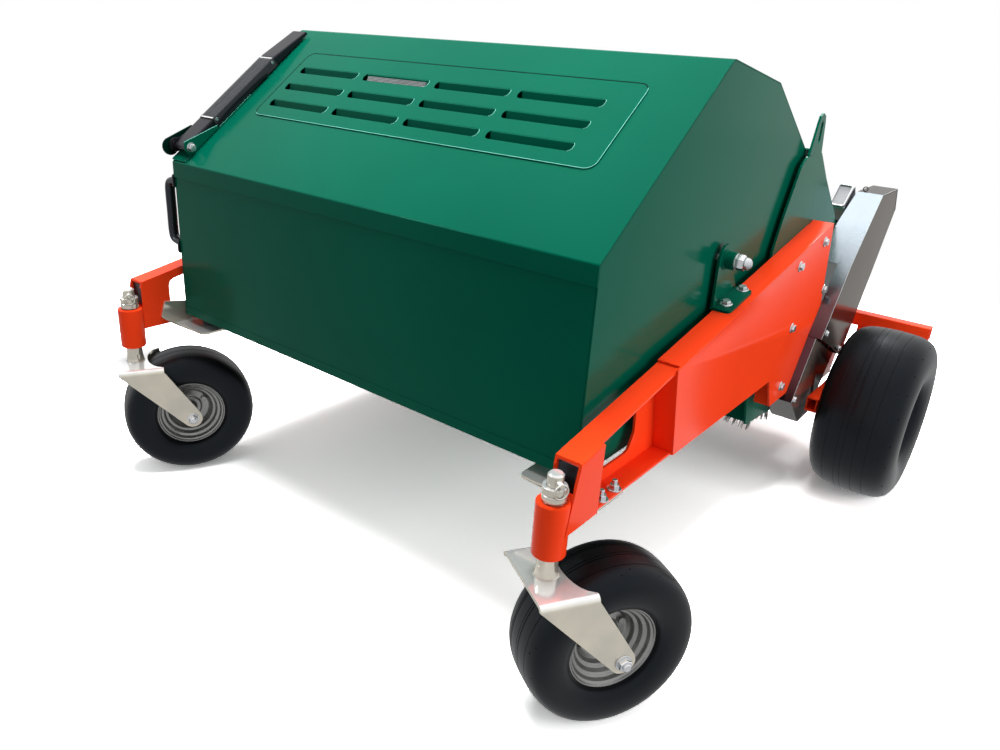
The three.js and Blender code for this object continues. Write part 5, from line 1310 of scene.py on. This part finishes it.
def make_guard_wall():
    form = Form()
    rings = []
    for (y, z), inner, i in zip(GUARD_WALL, GUARD_WALL_INNER, range(len(GUARD_WALL))):
        along = run_at(GUARD_WALL, i).normalized() * GUARD_SHEET
        under = (y + along.y, z - along.x)
        rings.append([
            spot(inner, y, z), spot(GUARD_WALL_OUTER, y, z), spot(GUARD_WALL_OUTER, *under),
            spot(inner, *under)])
    form.loft(rings)
    form.finish("guard_inner_wall", "chassis", "guard_sheet")
    ring = Form(facing(spot(668, 163, 815.5), Vector((0.4, -1, 0.1))))
    ring.tube(ring_points(6 * MM, 0, 28), 1.4 * MM, 8, True)
    ring.finish("guard_ring", "chassis", "black_paint")


# Bearing block: a cast cap with a raised rim, on a green foot, and a dark plate on its right side as painted
# shade
DRIVE = (220, 755)
BLOCK_TILT = 0.67
BLOCK_X = (574, 622)
BLOCK_HALF = 45.5
BLOCK_TOP = 35
BLOCK_FOOT = -20.5
BLOCK_BORE = 18
BLOCK_CAP = [
    (-BLOCK_HALF, BLOCK_FOOT), (BLOCK_HALF, BLOCK_FOOT), (BLOCK_HALF, BLOCK_TOP, 5),
    (-BLOCK_HALF, BLOCK_TOP, 5)]
BLOCK_SIDE_SHADE = [(-40, -18.5), (40, -18.5), (40, 30, 4), (-40, 30, 4)]
BLOCK_UNDER = [(-40, -37.8), (40, -37.8), (44, BLOCK_FOOT - 0.3), (-44, BLOCK_FOOT - 0.3)]
LONG_RUN = 12 * MM
LONG_RUN_PARTS = 8


def bored(form, corners, radius, start, end):
    """Outline round a bore about the local X axis, pushed along X; long runs are split to follow it."""
    line = soften(scaled(corners), 4)
    outline = []
    for (u0, v0), (u1, v1) in zip(line, line[1:] + line[:1]):
        parts = LONG_RUN_PARTS if math.hypot(u1 - u0, v1 - v0) > LONG_RUN else 1
        outline += [(u0 + (u1 - u0) * k / parts, v0 + (v1 - v0) * k / parts) for k in range(parts)]
    hole = []
    for u, v in outline:
        reach = math.hypot(u, v)
        hole.append((u / reach * radius * MM, v / reach * radius * MM))
    form.loft([[(x * MM, u, v) for u, v in loop] for x, loop in
               ((start, outline), (end, outline), (end, hole), (start, hole))], True)


def make_block():
    normal = Vector((0, -math.sin(BLOCK_TILT), math.cos(BLOCK_TILT)))
    place = place_at(spot(0, *DRIVE), ACROSS, normal)
    left, right = BLOCK_X
    cap = Form(place)
    bored(cap, BLOCK_CAP, BLOCK_BORE, left, right)
    cap.finish("block_cap", "chassis", "cast_metal", ["bearing_block"])
    rim = Form(place)
    reach = BLOCK_HALF - 4
    bar = soften([
        (left + 4, -reach, 6), (right - 4, -reach, 6), (right - 4, reach, 6), (left + 4, reach, 6)], 5)
    rim.tube(scaled([(x, t, BLOCK_TOP + 1) for x, t in bar]), 3.6 * MM, 10, True)
    rim.finish("block_rim", "chassis", "fastener")
    foot = Form(place)
    foot.prism(scaled(BLOCK_UNDER), (left + 3) * MM, (right - 3) * MM)
    foot.finish("block_foot", "chassis", "green_paint", corner=2 * MM)
    # Dark plate on the block's right side: painted shade
    side = Form(place)
    bored(side, BLOCK_SIDE_SHADE, BLOCK_BORE + 0.2, right + 0.1, right + 1.6)
    side.finish("block_side_shade", "chassis", "moulding")


# Painted shade: a dark sheet inside the arms' open front ends
SHADE_SHEET_X = (637.4, 678.6)
SHADE_SHEET_Y = (-1307.0, -1306.4)
SHADE_SHEET_Z = (462, 514)


def make_arm_shade_sheets():
    for side, sign in SIDES.items():
        shade_sheet = Form()
        start, end = sorted(sign * x for x in SHADE_SHEET_X)
        shade_sheet.box(spot(start, SHADE_SHEET_Y[0], SHADE_SHEET_Z[0]), spot(end, SHADE_SHEET_Y[1], SHADE_SHEET_Z[1]))
        # Dark sheet standing for the shade in the open end
        shade_sheet.finish(f"arm_shade_sheet_{side}", "chassis", "moulding")


# Studs and nuts on the arms' lower flanges, near the front
STUD_PLACES = ((668, -1202), (667, -1155))
STUD_SEAT = 405.1


def make_studs():
    for side, sign in SIDES.items():
        studs = Form()
        for x, y in STUD_PLACES:
            stud_nut(studs, facing(spot(sign * x, y, STUD_SEAT), UP, ACROSS), 17 * MM, 11 * MM)
        studs.finish(f"arm_studs_{side}", "chassis", "fastener")


# Studio: white surroundings, one big soft light above, weak fill, and small lamps for the gloss
WHITE = (1, 1, 1, 1)
FLOOR_REACH = 12.0
FLOOR_FADE_START = 1.9
FLOOR_FADE_END = 3.2
FLOOR_GAIN = 2.6
FLOOR_GLOW = 0.06
FLOOR_MIRRORED = 0.85
FLOOR_BOUNCE = 0.35
KEY_POWER = 285.0
KEY_SIZE = 2.6
KEY_PLACE = Vector((-0.2, 0.1, 3.6))
FILL_POWER = 56.0
FILL_SIZE = 2.2
FILL_PLACE = Vector((3.4, 0.2, 1.0))
LIT_POINT = Vector((0, 0, 0.5))
GLINT_POWER = 60.0
GLINT_SIZE = 0.7
GLINT_POINT = Vector((0, 0, 0.6))
GLINT_PLACES = (Vector((-0.5, 3.4, 3.7)), Vector((-3.0, -3.2, 3.6)))
AMBIENT = 0.42


def seen_directly(tree):
    """One for rays from the camera, from gloss and through glass."""
    path = tree.nodes.new("ShaderNodeLightPath")
    first = tree.nodes.new("ShaderNodeMath")
    first.operation = "MAXIMUM"
    second = tree.nodes.new("ShaderNodeMath")
    second.operation = "MAXIMUM"
    tree.links.new(path.outputs["Is Camera Ray"], first.inputs[0])
    tree.links.new(path.outputs["Is Glossy Ray"], first.inputs[1])
    tree.links.new(first.outputs[0], second.inputs[0])
    tree.links.new(path.outputs["Is Transmission Ray"], second.inputs[1])
    return second.outputs[0]


def make_world():
    world = bpy.data.worlds.new("surroundings")
    bpy.context.scene.world = world
    world.use_nodes = True
    tree = world.node_tree
    ambient = tree.nodes["Background"]
    set_inputs(ambient, Color=WHITE, Strength=AMBIENT)
    white = tree.nodes.new("ShaderNodeBackground")
    set_inputs(white, Color=WHITE, Strength=1.0)
    shown = mix_shaders(tree, seen_directly(tree), ambient.outputs[0], white.outputs[0])
    tree.links.new(shown, tree.nodes["World Output"].inputs["Surface"])


def floor_material():
    """Floor that keeps the shadow near the machine, and fades to white away from it."""
    material, tree, shader = new_material("studio_floor")
    tree.nodes.remove(shader)
    pale = tree.nodes.new("ShaderNodeBsdfDiffuse")
    set_inputs(pale, Color=(FLOOR_BOUNCE, FLOOR_BOUNCE, FLOOR_BOUNCE, 1))
    bright = tree.nodes.new("ShaderNodeBsdfDiffuse")
    set_inputs(bright, Color=(FLOOR_GAIN, FLOOR_GAIN, FLOOR_GAIN, 1))
    glow = tree.nodes.new("ShaderNodeEmission")
    set_inputs(glow, Strength=FLOOR_GLOW)
    lit = tree.nodes.new("ShaderNodeAddShader")
    tree.links.new(bright.outputs[0], lit.inputs[0])
    tree.links.new(glow.outputs[0], lit.inputs[1])
    white = tree.nodes.new("ShaderNodeEmission")
    place = tree.nodes.new("ShaderNodeTexCoord")
    reach = tree.nodes.new("ShaderNodeVectorMath")
    reach.operation = "LENGTH"
    tree.links.new(place.outputs["Object"], reach.inputs[0])
    fade = between(tree, reach.outputs["Value"], 0.0, 1.0, FLOOR_FADE_START, FLOOR_FADE_END)
    faded = mix_shaders(tree, fade, lit.outputs[0], white.outputs[0])
    mirrored = tree.nodes.new("ShaderNodeEmission")
    set_inputs(mirrored, Strength=FLOOR_MIRRORED)
    indirect = mix_shaders(tree, seen_directly(tree), pale.outputs[0], mirrored.outputs[0])
    path = tree.nodes.new("ShaderNodeLightPath")
    chosen = mix_shaders(tree, path.outputs["Is Camera Ray"], indirect, faded)
    tree.links.new(chosen, tree.nodes["Material Output"].inputs["Surface"])
    return material


def make_floor():
    mesh = bpy.data.meshes.new("studio_floor")
    corners = [(-1, -1), (1, -1), (1, 1), (-1, 1)]
    mesh.from_pydata([(x * FLOOR_REACH, y * FLOOR_REACH, 0) for x, y in corners], [], [(0, 1, 2, 3)])
    mesh.materials.append(floor_material())
    floor = bpy.data.objects.new("studio_floor", mesh)
    bpy.context.scene.collection.objects.link(floor)


def area_light(name, power, size, place, target):
    """Square lamp that lights surfaces and doesn't show in gloss."""
    light = bpy.data.lights.new(name, "AREA")
    light.shape = "SQUARE"
    light.energy = power
    light.size = size
    lamp = bpy.data.objects.new(name, light)
    lamp.location = place
    lamp.rotation_euler = (target - place).to_track_quat("-Z", "Y").to_euler()
    lamp.visible_glossy = False
    lamp.visible_camera = False
    bpy.context.scene.collection.objects.link(lamp)
    return lamp


def glint_light(name, place):
    """Small lamp that shows only in gloss, as a bright line along rounded folds."""
    lamp = area_light(name, GLINT_POWER, GLINT_SIZE, place, GLINT_POINT)
    lamp.visible_glossy = True
    lamp.visible_diffuse = False


make_camera()
make_world()
make_floor()
area_light("key", KEY_POWER, KEY_SIZE, KEY_PLACE, LIT_POINT)
area_light("fill", FILL_POWER, FILL_SIZE, FILL_PLACE, LIT_POINT)
for number, place in enumerate(GLINT_PLACES):
    glint_light(f"glint_{number}", place)
make_castor_wheels()
make_rear_wheels()
make_forks()
make_bolts()
make_pivots()
make_lever()
make_handle()
make_brush()
make_mesh_patch()
make_vent_lines()
make_louvre_ends()
make_guard_edges()
make_studs()
make_skirt()
make_guard_wall()
make_block()
make_arm_shade_sheets()
dress_frame()
